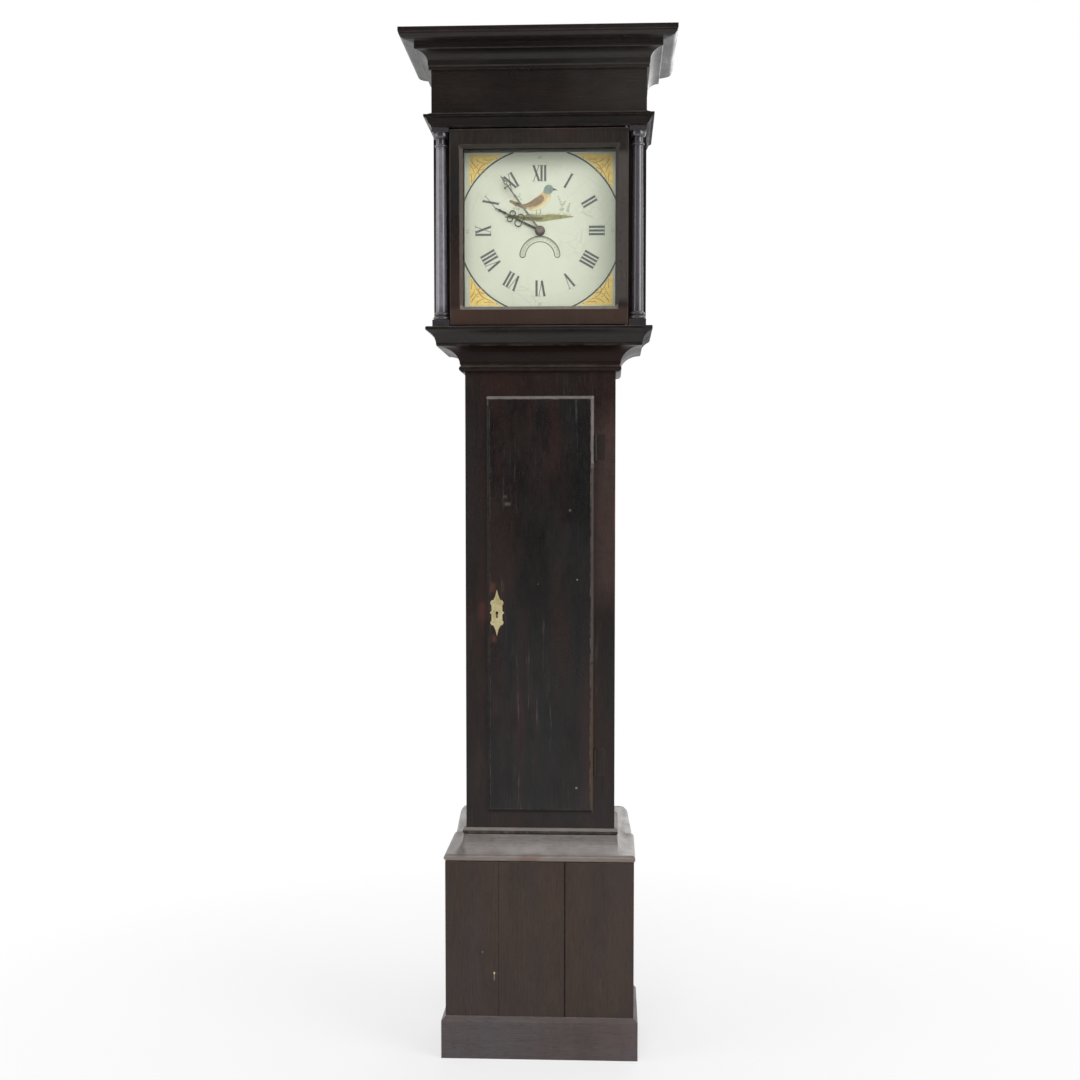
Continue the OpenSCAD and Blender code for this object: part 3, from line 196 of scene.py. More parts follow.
# One inside a box given by its middle and half sizes, nought outside, with a soft rim
def makeWithinBox():
    tree, given = newGroup("withinBox", {"Middle": (0, 0, 0), "Half": (1, 1, 1), "Rim": 0.001}, ["Inside"])
    away = vectors(tree, "ABSOLUTE", vectors(tree, "SUBTRACT", given[0], given[1]))
    inside = 1.0
    for over in partsOf(tree, vectors(tree, "SUBTRACT", away, given[2])):
        side = maths(tree, "SUBTRACT", 1.0, maths(tree, "DIVIDE", over, given[3]), clamp=True)
        inside = times(tree, inside, side)
    return closed(tree, inside)


effects = {"grain": makeGrain(), "edges": makeRubbedEdges(), "dust": makeSettledDust(),
           "specks": makeSpecks(), "box": makeWithinBox()}


def effect(tree, kind, coordinates, **inputs):
    given = {"Coordinates": coordinates, **inputs}
    return addNode(tree, "ShaderNodeGroup", given, node_tree=effects[kind]).outputs


def newMaterial(name):
    material = bpy.data.materials.new(name)
    material.use_nodes = True
    tree = material.node_tree
    shader = tree.nodes["Principled BSDF"]
    place = addNode(tree, "ShaderNodeTexCoord").outputs["Object"]
    return material, tree, shader, place


def dress(tree, shader, colour, rough):
    tree.links.new(colour, shader.inputs["Base Color"])
    tree.links.new(rough, shader.inputs["Roughness"])


def addBump(tree, shader, height, depth, strength):
    bump = addNode(tree, "ShaderNodeBump", {"Height": height, "Distance": depth, "Strength": strength})
    tree.links.new(bump.outputs[0], shader.inputs["Normal"])


# What every wood finish has unless it says otherwise
plainWood = {"along": upright, "redShare": 0.4, "coolShare": 0.4, "pore": "#121010", "poreShare": 0.4,
             "stain": 0.3, "stainColour": "#0b0a0a", "scuff": 0.3, "edgeShare": 0.45, "edgeReach": 0.0025,
             "topDust": 0.7, "cornerDust": 0.15, "dustRough": 0.3, "speck": "#8d857a", "speckShare": 0.5,
             "speckCells": 26, "speckRarity": 0.86, "speckSize": 0.02, "rough": 0.31, "gloss": 0.35,
             "bump": 0.45, "matt": 0.4}
# Every wood finish: stain colours, worn edges, dust and gloss
woods = {
    "hoodWood": {"dark": "#15110f", "light": "#201a17", "red": "#271a16", "redShare": 0.45,
                 "cool": "#1d1a18", "along": across, "edge": "#5a4f48", "edgeShare": 0.4,
                 "dust": "#5f5a56"},
    "hoodDoorWood": {"dark": "#191615", "light": "#272320", "red": "#3b241c", "redShare": 0.6,
                     "cool": "#1f1f1c", "edge": "#6a5c54", "dust": "#66605b"},
    "columnWood": {"dark": "#252326", "light": "#363238", "red": "#3a2f33", "redShare": 0.3,
                   "cool": "#34323a", "coolShare": 0.5, "edge": "#5e5656", "edgeShare": 0.35,
                   "dust": "#6a6664", "topDust": 0.6, "cornerDust": 0.2, "rough": 0.27, "gloss": 1.0,
                   "speckCells": 30, "bump": 0.1, "matt": 0.0},
    "trunkWood": {"dark": "#18110e", "light": "#251a17", "red": "#341c17", "redShare": 0.6,
                  "cool": "#1b1815", "coolShare": 0.55, "edge": "#6d625b", "edgeShare": 0.3,
                  "dust": "#6a645f", "cornerDust": 0.12, "speckCells": 22, "stain": 0.5},
    "trunkDoorWood": {"dark": "#141211", "light": "#1f1b1a", "red": "#311d1a", "redShare": 0.7,
                      "cool": "#181b1c", "coolShare": 0.75, "edge": "#8b8178", "edgeShare": 0.6,
                      "dust": "#777069", "topDust": 0.85, "cornerDust": 0.1, "rough": 0.29,
                      "speckCells": 20, "stain": 0.6, "scuff": 0.24},
    "throatWood": {"dark": "#180f0b", "light": "#221510", "red": "#26130c", "cool": "#1e1511",
                   "along": across, "edge": "#776b62", "dust": "#6e6863", "topDust": 0.8, "cornerDust": 0.2,
                   "rough": 0.34, "gloss": 0.15},
    # The base moulding's pale grey and its full top dust are partly its faded, dusty finish and partly a
    # painted highlight on the cove
    "baseMouldingWood": {"dark": "#5d5855", "light": "#7c7774", "red": "#756356", "redShare": 0.45,
                         "cool": "#8c8787", "coolShare": 0.6, "along": across, "edge": "#9a8670",
                         "edgeShare": 0.8, "dust": "#a09a97", "topDust": 1.0, "cornerDust": 0.2,
                         "rough": 0.33, "gloss": 0.4, "speckCells": 30, "stain": 0.15, "scuff": 0.2},
    "baseWood": {"dark": "#312722", "light": "#3e312a", "red": "#473427", "cool": "#3d3332",
                 "coolShare": 0.5, "edge": "#6f6257", "dust": "#6c645d", "rough": 0.36, "gloss": 0.3,
                 "stain": 0.15, "scuff": 0.15},
    "plinthWood": {"dark": "#433a39", "light": "#524846", "red": "#5d4a43", "cool": "#514f54",
                   "coolShare": 0.75, "along": across, "edge": "#80756b", "edgeShare": 0.5,
                   "dust": "#6b615c", "topDust": 0.25, "cornerDust": 0.12, "rough": 0.32, "gloss": 0.4,
                   "stain": 0.15, "scuff": 0.2},
    "rawWood": {"dark": "#6d5238", "light": "#8d6c4b", "red": "#7c5a3c", "redShare": 0.5, "cool": "#7a6045",
                "edge": "#a88a66", "edgeShare": 0.2, "dust": "#8f8577", "topDust": 0.5, "cornerDust": 0.3,
                "rough": 0.7, "gloss": 0.3, "speckCells": 20},
}
woods["seatWood"] = dict(woods["rawWood"], dark="#5f4730", light="#80623f", red="#6e5035", cool="#6b5238",
                         along=across, edge="#a08462", topDust=0.6)
woods["seatWoodTurned"] = dict(woods["seatWood"], along=deep, rough=0.5)
woods["backWood"] = dict(woods["baseWood"], light="#4a403a", rough=0.6)
woods["architraveWood"] = dict(woods["hoodWood"], dark="#120e0d", light="#1b1613", gloss=0.15)

# Raw wood inside stained boards, and other marks by place, painted light among them: middle, half size,
# colour, share and a soft rim
marks = {
    "trunkWood": [((0, 0.05, 0.85), (0.1255, 0.0795, 0.6), "#7a5c3f", 1.0)],
    "backWood": [((0, 0.1, 1.0), (0.1285, 0.031, 1.2), "#7a5c3f", 1.0)],
    "baseMouldingWood": [((0, -0.0765, 0.3905), (0.2, 0.012, 0.0055), "#8a7668", 0.45),
                         # Painted light on the moulding's returns beside the trunk, much lighter on the right
                         # than on the left
                         ((0.168, 0.04, 0.417), (0.0165, 0.1, 0.024), "#dcd9d6", 0.8),
                         ((-0.168, 0.04, 0.417), (0.0165, 0.1, 0.024), "#85817f", 0.7)],
    "hoodDoorWood": [((0, -0.083, 1.4235), (0.17, 0.02, 0.012), "#4d362c", 0.55, 0.008),
                     ((0, -0.083, 1.7515), (0.17, 0.02, 0.008), "#1d1917", 0.6, 0.008),
                     ((0.156, -0.083, 1.5885), (0.006, 0.02, 0.13), "#504a46", 0.7, 0.012)],
    "hoodWood": [((0.17, -0.07, 1.84), (0.02, 0.03, 0.035), "#2b2826", 0.5, 0.12)],
    "trunkDoorWood": [((0, -0.02, 0.88), (0.0945, 0.009, 0.392), "#7a5c3f", 1.0)],
}
# Marks that lie over wear and dust, a little broken up, in the same order; besides chips, scratches and
# joints they hold painted highlights and shadows
overMarks = {
    # Painted light: the backboard's shoulders beside the foot of the trunk, near white, the right one a
    # little lighter
    "backWood": [((0.165, 0.13, 0.42), (0.02, 0.004, 0.04), "#f4f2ef", 0.95),
                 ((-0.165, 0.13, 0.42), (0.02, 0.004, 0.04), "#e9e6e2", 0.95)],
    # Painted highlight on the top of the bead, then painted shadow on its lower half
    "baseMouldingWood": [((0, -0.04, 0.4418), (0.2, 0.02, 0.0025), "#736c69", 0.8),
                         ((0, -0.04, 0.4352), (0.2, 0.02, 0.0033), "#272220", 0.95),
                         ((-0.152, -0.05, 0.418), (0.001, 0.03, 0.012), "#56504e", 0.7, 0.007),
                         ((-0.152, -0.068, 0.4), (0.004, 0.02, 0.0005), "#45403d", 0.7, 0.009),
                         # Painted shadow line where the cove steps down to the lip
                         ((0, -0.0715, 0.3975), (0.185, 0.006, 0.0007), "#544d4a", 0.6),
                         ((-0.02, -0.0715, 0.391), (0.012, 0.004, 0.001), "#705449", 0.7, 0.014),
                         # Painted shadow under the lip
                         ((0, -0.0715, 0.3857), (0.19, 0.004, 0.0009), "#1d1917", 0.95),
                         ((-0.184, -0.0705, 0.387), (0.003, 0.003, 0.0028), "#d3c19c", 1.0)],
    # Painted shade on the architrave's right end face
    "architraveWood": [((0.22, 0.0, 1.785), (0.02, 0.15, 0.02), "#1a1716", 0.9, 0.004)],
    # Painted shade on the hood base's right end face
    "hoodWood": [((0.216, 0.0, 1.389), (0.02, 0.15, 0.018), "#1a1716", 0.9, 0.004)],
    "plinthWood": [((-0.192, -0.077, 0.078), (0.003, 0.004, 0.003), "#c9b48c", 1.0),
                   ((0.185, -0.0765, 0.037), (0.01, 0.01, 0.034), "#63585a", 0.35, 0.06)],
    "baseWood": [((-0.0872, -0.0685, 0.1605), (0.0006, 0.002, 0.007), "#8d8069", 0.8),
                 ((-0.0872, -0.0685, 0.167), (0.001, 0.002, 0.0014), "#c9bb92", 0.9),
                 ((-0.11, -0.0685, 0.208), (0.0007, 0.002, 0.0007), "#8a7064", 0.8),
                 ((-0.079, -0.0685, 0.23), (0.0014, 0.01, 0.16), "#3a302b", 0.5),
                 ((0.049, -0.0685, 0.23), (0.0010, 0.01, 0.16), "#0f0b0a", 1.0)],
    # Painted light and shade on the edges round the glass: light on the left and bottom edges, which face the
    # light, shade on the top and right edges
    "hoodDoorWood": [((-0.1445, -0.0785, 1.5885), (0.003, 0.02, 0.15), "#5d5048", 0.8),
                     ((0.1445, -0.0785, 1.5885), (0.0035, 0.02, 0.15), "#39332f", 0.8),
                     ((0, -0.0785, 1.737), (0.15, 0.02, 0.0035), "#39342e", 0.85),
                     ((0, -0.0785, 1.4405), (0.147, 0.02, 0.0035), "#8b867c", 0.6)],
    # Painted highlights: a broad light band down the left column, a fainter one down the right
    "columnWood": [((-0.184, -0.0705, 1.5885), (0.014, 0.02, 0.14), "#827f88", 0.75, 0.02),
                   ((0.184, -0.0705, 1.5885), (0.014, 0.02, 0.14), "#5c5860", 0.4, 0.02)],
    "trunkWood": [((0.135, -0.0305, 1.07), (0.009, 0.01, 0.14), "#4a3630", 0.45, 0.07),
                  ((-0.135, -0.0305, 1.07), (0.009, 0.01, 0.14), "#120e0d", 0.5, 0.07),
                  ((0.1432, -0.0305, 1.06), (0.0006, 0.002, 0.04), "#63402f", 0.8),
                  ((-0.11, -0.0305, 0.865), (0.003, 0.002, 0.012), "#46241b", 0.7, 0.012)],
    # Painted highlights on the door's top and right lip edges, painted shade on its left and bottom lip edges
    "trunkDoorWood": [((0, -0.036, 1.2765), (0.1035, 0.01, 0.0028), "#77716f", 0.85),
                      ((0.1005, -0.036, 1.21), (0.0026, 0.01, 0.068), "#77716f", 0.85),
                      ((0.1005, -0.036, 0.96), (0.0024, 0.01, 0.19), "#4d4541", 0.8),
                      ((0.1005, -0.036, 0.62), (0.0020, 0.01, 0.145), "#513e2f", 0.8),
                      ((-0.1005, -0.036, 0.87), (0.0032, 0.01, 0.39), "#171211", 0.95),
                      ((0, -0.036, 0.479), (0.1, 0.01, 0.0032), "#1d1715", 0.95),
                      ((-0.0915, -0.0395, 0.913), (0.0004, 0.004, 0.004), "#54301f", 0.7, 0.008),
                      ((-0.089, -0.0395, 0.814), (0.0004, 0.004, 0.003), "#4e2f22", 0.7, 0.008),
                      ((-0.067, -0.0395, 1.087), (0.002, 0.004, 0.0002), "#5b564f", 0.4, 0.004),
                      ((-0.0625, -0.0395, 1.073), (0.003, 0.004, 0.0002), "#7a7367", 0.4, 0.005),
                      ((0.0576, -0.0395, 1.061), (0.001, 0.004, 0.001), "#77594a", 0.8, 0.002),
                      ((0.0715, -0.0395, 0.928), (0.001, 0.004, 0.001), "#8a8580", 0.8),
                      ((0.0705, -0.0395, 0.5245), (0.0013, 0.004, 0.0013), "#a08a72", 0.85)],
}
markLook = {"rim": 0.001, "fibreShare": 0.4, "fibre": "#3f3a36"}


# The mask of each mark's box, with the mark's colour
def boxMasks(tree, place, rows):
    for middle, half, code, share, *rim in rows:
        inside = effect(tree, "box", place, Middle=middle, Half=half, Rim=(rim or [markLook["rim"]])[0])[0]
        yield times(tree, inside, share), code


def makeWood(name, own):
    look = {**plainWood, **own}
    material, tree, shader, place = newMaterial(name)
    fibre, streak, pores, cool = effect(tree, "grain", place, Along=look["along"])[:4]
    edge = effect(tree, "edges", place, Reach=look["edgeReach"])[0]
    topDust, cornerDust = effect(tree, "dust", place)[:2]
    speck = effect(tree, "specks", place, Cells=look["speckCells"], Rarity=look["speckRarity"],
                   Size=look["speckSize"])[0]
    colour = mixed(tree, fibre, look["dark"], look["light"])
    # Cool patches: on the black stains partly real blue-black tone, partly painted sheen
    colour = laid(tree, colour, look["cool"], cool, look["coolShare"])
    colour = laid(tree, colour, look["red"], streak, look["redShare"])
    colour = laid(tree, colour, look["pore"], pores, look["poreShare"])
    # Blotches where the black stain lies thick, and faint scuffs along the grain
    blotch = ranged(tree, noise(tree, stretched(tree, place, (1, 1, 0.35)), 15, 6, 0.7), 0.5, 0.62)
    colour = laid(tree, colour, look["stainColour"], blotch, look["stain"])
    worn = ranged(tree, noise(tree, place, 7, 3, 0.5), 0.48, 0.6)
    scuff = ranged(tree, noise(tree, stretched(tree, place, look["along"]), 110, 6, 0.75), 0.58, 0.72)
    colour = laid(tree, colour, look["edge"], times(tree, worn, scuff), look["scuff"])
    for mask, code in boxMasks(tree, place, marks.get(name, [])):
        shaded = mixed(tree, times(tree, fibre, markLook["fibreShare"]), code, markLook["fibre"])
        colour = mixed(tree, mask, colour, shaded)
    colour = laid(tree, colour, look["edge"], edge, look["edgeShare"])
    dust = maths(tree, "ADD", times(tree, topDust, look["topDust"]),
                 times(tree, cornerDust, look["cornerDust"]), clamp=True)
    colour = mixed(tree, dust, colour, look["dust"])
    colour = laid(tree, colour, look["speck"], speck, look["speckShare"])
    broken = ranged(tree, noise(tree, place, 75, 4, 0.65), 0.34, 0.56, 0.7, 1.0)
    matt = 0.0
    for mask, code in boxMasks(tree, place, overMarks.get(name, [])):
        mask = times(tree, mask, broken)
        colour = mixed(tree, mask, colour, code)
        matt = maths(tree, "MAXIMUM", matt, mask)
    patch = noise(tree, place, 9, 4, 0.6)
    rough = ranged(tree, patch, 0.3, 0.7, look["rough"] - 0.07, look["rough"] + 0.12)
    rough = maths(tree, "ADD", rough, times(tree, dust, look["dustRough"]))
    rough = maths(tree, "ADD", rough, times(tree, matt, look["matt"]), clamp=True)
    dress(tree, shader, colour, rough)
    shader.inputs["Specular IOR Level"].default_value = look["gloss"]
    height = maths(tree, "SUBTRACT", times(tree, fibre, 0.5), pores)
    addBump(tree, shader, height, 0.0002, look["bump"])
    return material


# Metals: two colours that a slow noise mixes, spots, and a range of roughness
metals = {
    "oldBrass": {"a": "#b8914a", "b": "#8d6b33", "spot": "#5a4526", "metal": 1.0, "rough": (0.28, 0.45)},
    "paleBrass": {"a": "#ddd2a6", "b": "#bdb07e", "spot": "#6b5f3e", "metal": 0.6, "rough": (0.4, 0.55)},
    "oldSteel": {"a": "#8d8a84", "b": "#6c6862", "spot": "#4c3a2c", "metal": 1.0, "rough": (0.32, 0.5)},
    "darkIron": {"a": "#55524e", "b": "#3d3a37", "spot": "#4d3423", "metal": 0.75, "rough": (0.5, 0.7)},
    "handSteel": {"a": "#4b483d", "b": "#38352d", "spot": "#4a3a30", "metal": 0.35, "rough": (0.42, 0.6)},
    "bellMetal": {"a": "#b9ad8f", "b": "#978b6c", "spot": "#6a6048", "metal": 1.0, "rough": (0.25, 0.4)},
    "paintedIron": {"a": "#45423f", "b": "#36332f", "spot": "#5d3f2a", "metal": 0.1, "rough": (0.5, 0.7)},
    "paleSteel": {"a": "#807c70", "b": "#68645a", "spot": "#5a4f44", "metal": 0.3, "rough": (0.45, 0.6)},
    "copperWasher": {"a": "#7d6e68", "b": "#635651", "spot": "#46332b", "metal": 0.5, "rough": (0.4, 0.55)},
}


metalWear = {"spotCells": 160.0, "spotRarity": 0.6, "spotSize": 0.22, "spotShare": 0.45, "edge": "#cfc6b0",
             "edgeShare": 0.25, "edgeReach": 0.0008, "cornerReach": 0.004, "cornerShare": 0.5}


def makeMetal(name, look):
    wear = metalWear
    material, tree, shader, place = newMaterial(name)
    tone = ranged(tree, noise(tree, place, 45, 5, 0.6), 0.35, 0.65)
    fine = noise(tree, place, 900, 3, 0.6)
    colour = mixed(tree, tone, look["a"], look["b"])
    spot = effect(tree, "specks", place, Cells=wear["spotCells"], Rarity=wear["spotRarity"],
                  Size=wear["spotSize"])[0]
    colour = laid(tree, colour, look["spot"], spot, wear["spotShare"])
    edge = effect(tree, "edges", place, Reach=wear["edgeReach"])[0]
    colour = laid(tree, colour, wear["edge"], edge, wear["edgeShare"])
    corner = effect(tree, "dust", place, Reach=wear["cornerReach"])[1]
    colour = laid(tree, colour, look["spot"], corner, wear["cornerShare"])
    dress(tree, shader, colour, ranged(tree, fine, 0.3, 0.7, *look["rough"]))
    shader.inputs["Metallic"].default_value = look["metal"]
    addBump(tree, shader, fine, 0.00006, 0.5)
    return material


dialLook = {"z": 1.5885, "paint": "#d4d4c5", "cloud": "#c8c8b8", "cloudShare": 0.25,
            "rings": (0.0905, 0.1235, 0.1345), "line": "#b3b8a3", "lineShare": 0.3,
            "shade": "#a9ae99", "shadeFrom": 0.105, "shadeTo": 0.15, "shadeShare": 0.55,
            "dirt": "#8d8a70", "crackShare": 0.35, "speckShare": 0.4}


def makeDialPaint(name, rings=True):
    look = dialLook
    material, tree, shader, place = newMaterial(name)
    parts = partsOf(tree, place)
    x = parts[0]
    z = maths(tree, "SUBTRACT", parts[2], look["z"])
    away = maths(tree, "SQRT", maths(tree, "ADD", times(tree, x, x), times(tree, z, z)))
    cloud = ranged(tree, noise(tree, place, 16, 5, 0.6), 0.3, 0.7)
    colour = mixed(tree, times(tree, cloud, look["cloudShare"]), look["paint"], look["cloud"])
    if rings:
        for radius in look["rings"]:
            near = maths(tree, "ABSOLUTE", maths(tree, "SUBTRACT", away, radius))
            line = ranged(tree, near, 0.0006, 0.0002, 0.0, look["lineShare"])
            colour = mixed(tree, line, colour, look["line"])
        # Painted shade: the dial darkens towards its right edge, where the hood's side shades it
        paintedShadeRight = ranged(tree, x, look["shadeFrom"], look["shadeTo"], 0.0, look["shadeShare"])
        colour = mixed(tree, paintedShadeRight, colour, look["shade"])
    crack = addNode(tree, "ShaderNodeTexVoronoi", {"Vector": place, "Scale": 42.0},
                    feature="DISTANCE_TO_EDGE").outputs["Distance"]
    crackMask = times(tree, ranged(tree, crack, 0.02, 0.0),
                      ranged(tree, noise(tree, place, 11, 3), 0.5, 0.62))
    colour = laid(tree, colour, look["dirt"], crackMask, look["crackShare"])
    speck = effect(tree, "specks", place, Cells=70.0, Rarity=0.9, Size=0.09)[0]
    colour = laid(tree, colour, look["dirt"], speck, look["speckShare"])
    dress(tree, shader, colour, ranged(tree, cloud, 0, 1, 0.34, 0.46))
    addBump(tree, shader, times(tree, crackMask, -1.0), 0.0001, 0.4)
    return material


# Every paint: two colours, the colour of its worn places and their share, then scale, roughness and gloss
paints = {
    "numeralPaint": ("#4f5152", "#626463", "#a5aa9b", 0.35),
    "faintPaint": ("#8b9084", "#a2a798", "#c3c9b6", 0.8),
    "dayPaint": ("#66634a", "#7d7a60", "#a9ad94", 0.4),
    "cornerGold": ("#fbdb86", "#ecc566", "#c49e55", 0.5, 120.0, 0.4),
    "hingePaint": ("#281f1b", "#221b17", "#30251f", 0.3, 220.0, 0.45, 0.35),
    "arcPaint": ("#3d3a33", "#57523f", "#8b876f", 0.5),
    "scrollGold": ("#c49c50", "#a57f3c", "#7d6130", 0.5, 300.0, 0.4),
    "rimPaint": ("#6c6d52", "#7f8065", "#a9ad94", 0.35),
    "mossPaint": ("#7c7a4c", "#9a9468", "#c3c4a4", 0.8, 130.0),
    "darkMossPaint": ("#54502f", "#716a45", "#8f8c66", 0.6, 150.0),
    "featherPaint": ("#80664c", "#a08563", "#c0ae90", 0.75, 260.0),
    "breastPaint": ("#bda277", "#cdb58d", "#d8ccae", 0.75, 160.0),
    "creamPaint": ("#e0d3b0", "#d5c49b", "#d4d4c5", 0.6, 160.0),
    "headPaint": ("#75817f", "#8f9a94", "#b3bbb0", 0.6, 200.0),
    "inkPaint": ("#4b443a", "#5e564a", "#8d8773", 0.4, 300.0),
    "sprayPaint": ("#8b9070", "#a2a686", "#cdd2bd", 0.7, 200.0),
}


def makePaint(name, a, b, worn, wornShare, size=220.0, rough=0.5, gloss=0.5):
    material, tree, shader, place = newMaterial(name)
    tone = ranged(tree, noise(tree, place, size, 4, 0.6), 0.35, 0.65)
    gaps = ranged(tree, noise(tree, place, size * 2.4, 5, 0.7), 0.56, 0.66, 0.0, wornShare)
    colour = mixed(tree, gaps, mixed(tree, tone, a, b), worn)
    dress(tree, shader, colour, ranged(tree, tone, 0, 1, rough - 0.06, rough + 0.06))
    shader.inputs["Specular IOR Level"].default_value = gloss
    addBump(tree, shader, tone, 0.00005, 0.5)
    return material


def makeGlass(name):
    material, tree, shader, place = newMaterial(name)
    shader.inputs["Base Color"].default_value = linear("#eef2ee")
    shader.inputs["Transmission Weight"].default_value = 1.0
    shader.inputs["IOR"].default_value = 1.45
    wave = noise(tree, place, 14, 2, 0.5)
    smear = ranged(tree, noise(tree, place, 60, 4, 0.6), 0.4, 0.7, 0.0, 0.012)
    tree.links.new(smear, shader.inputs["Roughness"])
    addBump(tree, shader, wave, 0.0003, 0.06)
    clear = addNode(tree, "ShaderNodeBsdfTransparent")
    shadow = addNode(tree, "ShaderNodeLightPath").outputs["Is Shadow Ray"]
    blend = addNode(tree, "ShaderNodeMixShader", {0: shadow, 1: shader.outputs[0], 2: clear.outputs[0]})
    tree.links.new(blend.outputs[0], tree.nodes["Material Output"].inputs["Surface"])
    return material


def makeRopeFibre(name):
    material, tree, shader, place = newMaterial(name)
    fuzz = noise(tree, place, 1600, 4, 0.7)
    grime = ranged(tree, noise(tree, place, 35, 4, 0.6), 0.35, 0.7)
    colour = mixed(tree, ranged(tree, fuzz, 0.3, 0.7), "#85714f", "#b8a27a")
    colour = laid(tree, colour, "#5c4d38", grime, 0.5)
    dress(tree, shader, colour, ranged(tree, fuzz, 0, 1, 0.75, 0.95))
    addBump(tree, shader, fuzz, 0.0003, 0.7)
    return material


print("stage: materials")
finish = {name: makeWood(name, look) for name, look in woods.items()}
finish.update({name: makeMetal(name, look) for name, look in metals.items()})
finish["dialPaint"] = makeDialPaint("dialPaint")
finish["calendarPaint"] = makeDialPaint("calendarPaint", rings=False)
finish.update({name: makePaint(name, *look) for name, look in paints.items()})
finish["glass"] = makeGlass("glass")
finish["ropeFibre"] = makeRopeFibre("ropeFibre")

nodeFinish = {
    "plinthWood": ["plinth"], "baseWood": ["base_front", "base_sides"], "baseMouldingWood": ["base_moulding"],
    "rawWood": ["base_floor"], "seatWood": ["seat_board"], "backWood": ["backboard"],
    "trunkWood": ["trunk_sides", "trunk_frame"], "trunkDoorWood": ["trunk_door"],
    "throatWood": ["throat_moulding"],
    "hoodWood": ["hood_base", "hood_sides", "hood_frieze", "hood_top", "cornice", "dial_mask"],
    "architraveWood": ["architrave"],
    "hoodDoorWood": ["hood_door"], "columnWood": ["columns"],
    "hingePaint": ["trunk_hinge_plates", "trunk_hinge_leaves"],
    "paleBrass": ["escutcheon"],
    "oldBrass": ["front_plate", "back_plate", "great_wheel", "motion_driver", "second_wheel", "minute_pipe",
                 "hour_wheel", "strike_great_wheel", "hoop_wheel", "warning_wheel", "count_wheel",
                 "back_cock", "escape_wheel", "fly"],
    "oldSteel": ["hood_door_pivots", "lock_bolt", "seat_bolts", "centre_stud", "anchor", "suspension_spring",
                 "pendulum_rod", "rating_nut", "hammer", "strike_levers"],
    "darkIron": ["lock_case", "drive_weight"], "paintedIron": ["pendulum_bob", "tension_weight"],
    "handSteel": ["hour_hand"], "paleSteel": ["minute_hand"], "bellMetal": ["bell"],
    "seatWoodTurned": ["winding_pulley", "weight_sheave"],
    "dialPaint": ["dial"], "calendarPaint": ["calendar_disc"], "glass": ["hood_glass"],
    "ropeFibre": ["drive_rope"],
}
for finishName, members in nodeFinish.items():
    for member in members:
        for materialSlot in nodes[member].material_slots:
            materialSlot.material = finish[finishName]
unfinished = sorted(set(nodes) - {member for members in nodeFinish.values() for member in members})
print("nodes with no finish:", unfinished)


# Modelling helpers

def mode(kind):
    bpy.ops.object.mode_set(mode=kind)


def pickOut(piece):
    bpy.ops.object.select_all(action="DESELECT")
    piece.select_set(True)
    bpy.context.view_layer.objects.active = piece


def applyPlace():
    bpy.ops.object.transform_apply(location=True, rotation=True, scale=True)


def weld(reach):
    mode("EDIT")
    bpy.ops.mesh.select_all(action="SELECT")
    bpy.ops.mesh.remove_doubles(threshold=reach)
    bpy.ops.mesh.normals_make_consistent(inside=False)
    mode("OBJECT")


def curvePiece(name, curve):
    piece = bpy.data.objects.new(name, curve)
    bpy.context.collection.objects.link(piece)
    return piece


def done(piece, body, material, smooth=None):
    pickOut(piece)
    applyPlace()
    if smooth:
        bpy.ops.object.shade_smooth_by_angle(angle=radians(smooth))
    piece.data.materials.clear()
    piece.data.materials.append(material)
    if body:
        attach(piece, body)
    return piece


# Paint on the dial, which stays with the case
def painted(piece, paint, smooth=None):
    return done(piece, "case", finish[paint], smooth)


def applyModifier(piece, kind, **settings):
    modifier = piece.modifiers.new(kind.lower(), kind)
    for key, value in settings.items():
        setattr(modifier, key, value)
    pickOut(piece)
    bpy.ops.object.modifier_apply(modifier=modifier.name)


# Strokes of paint on the dial: each is a thin bar between two points in the dial's own x and z

dialFront = -0.0415
coat = 0.00012
dialZ = dialLook["z"]


def paintStrokes(name, strokes, thick=coat):
    bpy.ops.object.select_all(action="DESELECT")
    piece = None
    for (x0, z0), (x1, z1), width in strokes:
        middle = ((x0 + x1) / 2, dialFront - thick / 2, dialZ + (z0 + z1) / 2)
        bpy.ops.mesh.primitive_cube_add(size=1, location=middle, rotation=(0, -atan2(z1 - z0, x1 - x0), 0),
                                        scale=(hypot(x1 - x0, z1 - z0), thick, width))
        if piece is None:
            piece = bpy.context.object
            piece.name = name
            applyPlace()
            mode("EDIT")
            bpy.ops.mesh.select_all(action="DESELECT")
    mode("OBJECT")
    return piece


numerals = {"radius": 0.1075, "tall": 0.029, "thick": 0.0042, "thin": 0.0012, "gap": 0.0068, "serif": 0.0008,
            "splay": 0.0105, "space": 0.0024, "foot": 0.0022, "splayFoot": 0.0018}
hourWords = ["XII", "I", "II", "III", "IIII", "V", "VI", "VII", "VIII", "IX", "X", "XI"]


def letterStrokes(letter, at):
    look = numerals
    h, w = look["tall"] / 2, look["splay"] / 2
    width = look["thick"] + look["splayFoot"]
    if letter == "I":
        width = look["thick"] + look["foot"]
        body = [((at, -h), (at, h), look["thick"])]
        ends = [(at, -h), (at, h)]
    elif letter == "V":
        body = [((at - w, h), (at, -h), look["thick"]), ((at + w, h), (at, -h), look["thin"])]
        ends = [(at - w, h), (at + w, h)]
    else:
        body = [((at - w, h), (at + w, -h), look["thick"]), ((at + w, h), (at - w, -h), look["thin"])]
        ends = [(at - w, h), (at + w, h), (at - w, -h), (at + w, -h)]
    return body + [((x - width / 2, z), (x + width / 2, z), look["serif"]) for x, z in ends]


def turnedStrokes(strokes, angle, radius):
    c, s = cos(angle), sin(angle)
    return [tuple((x * c + (z + radius) * s, -x * s + (z + radius) * c) for x, z in (a, b)) + (width,)
            for a, b, width in strokes]


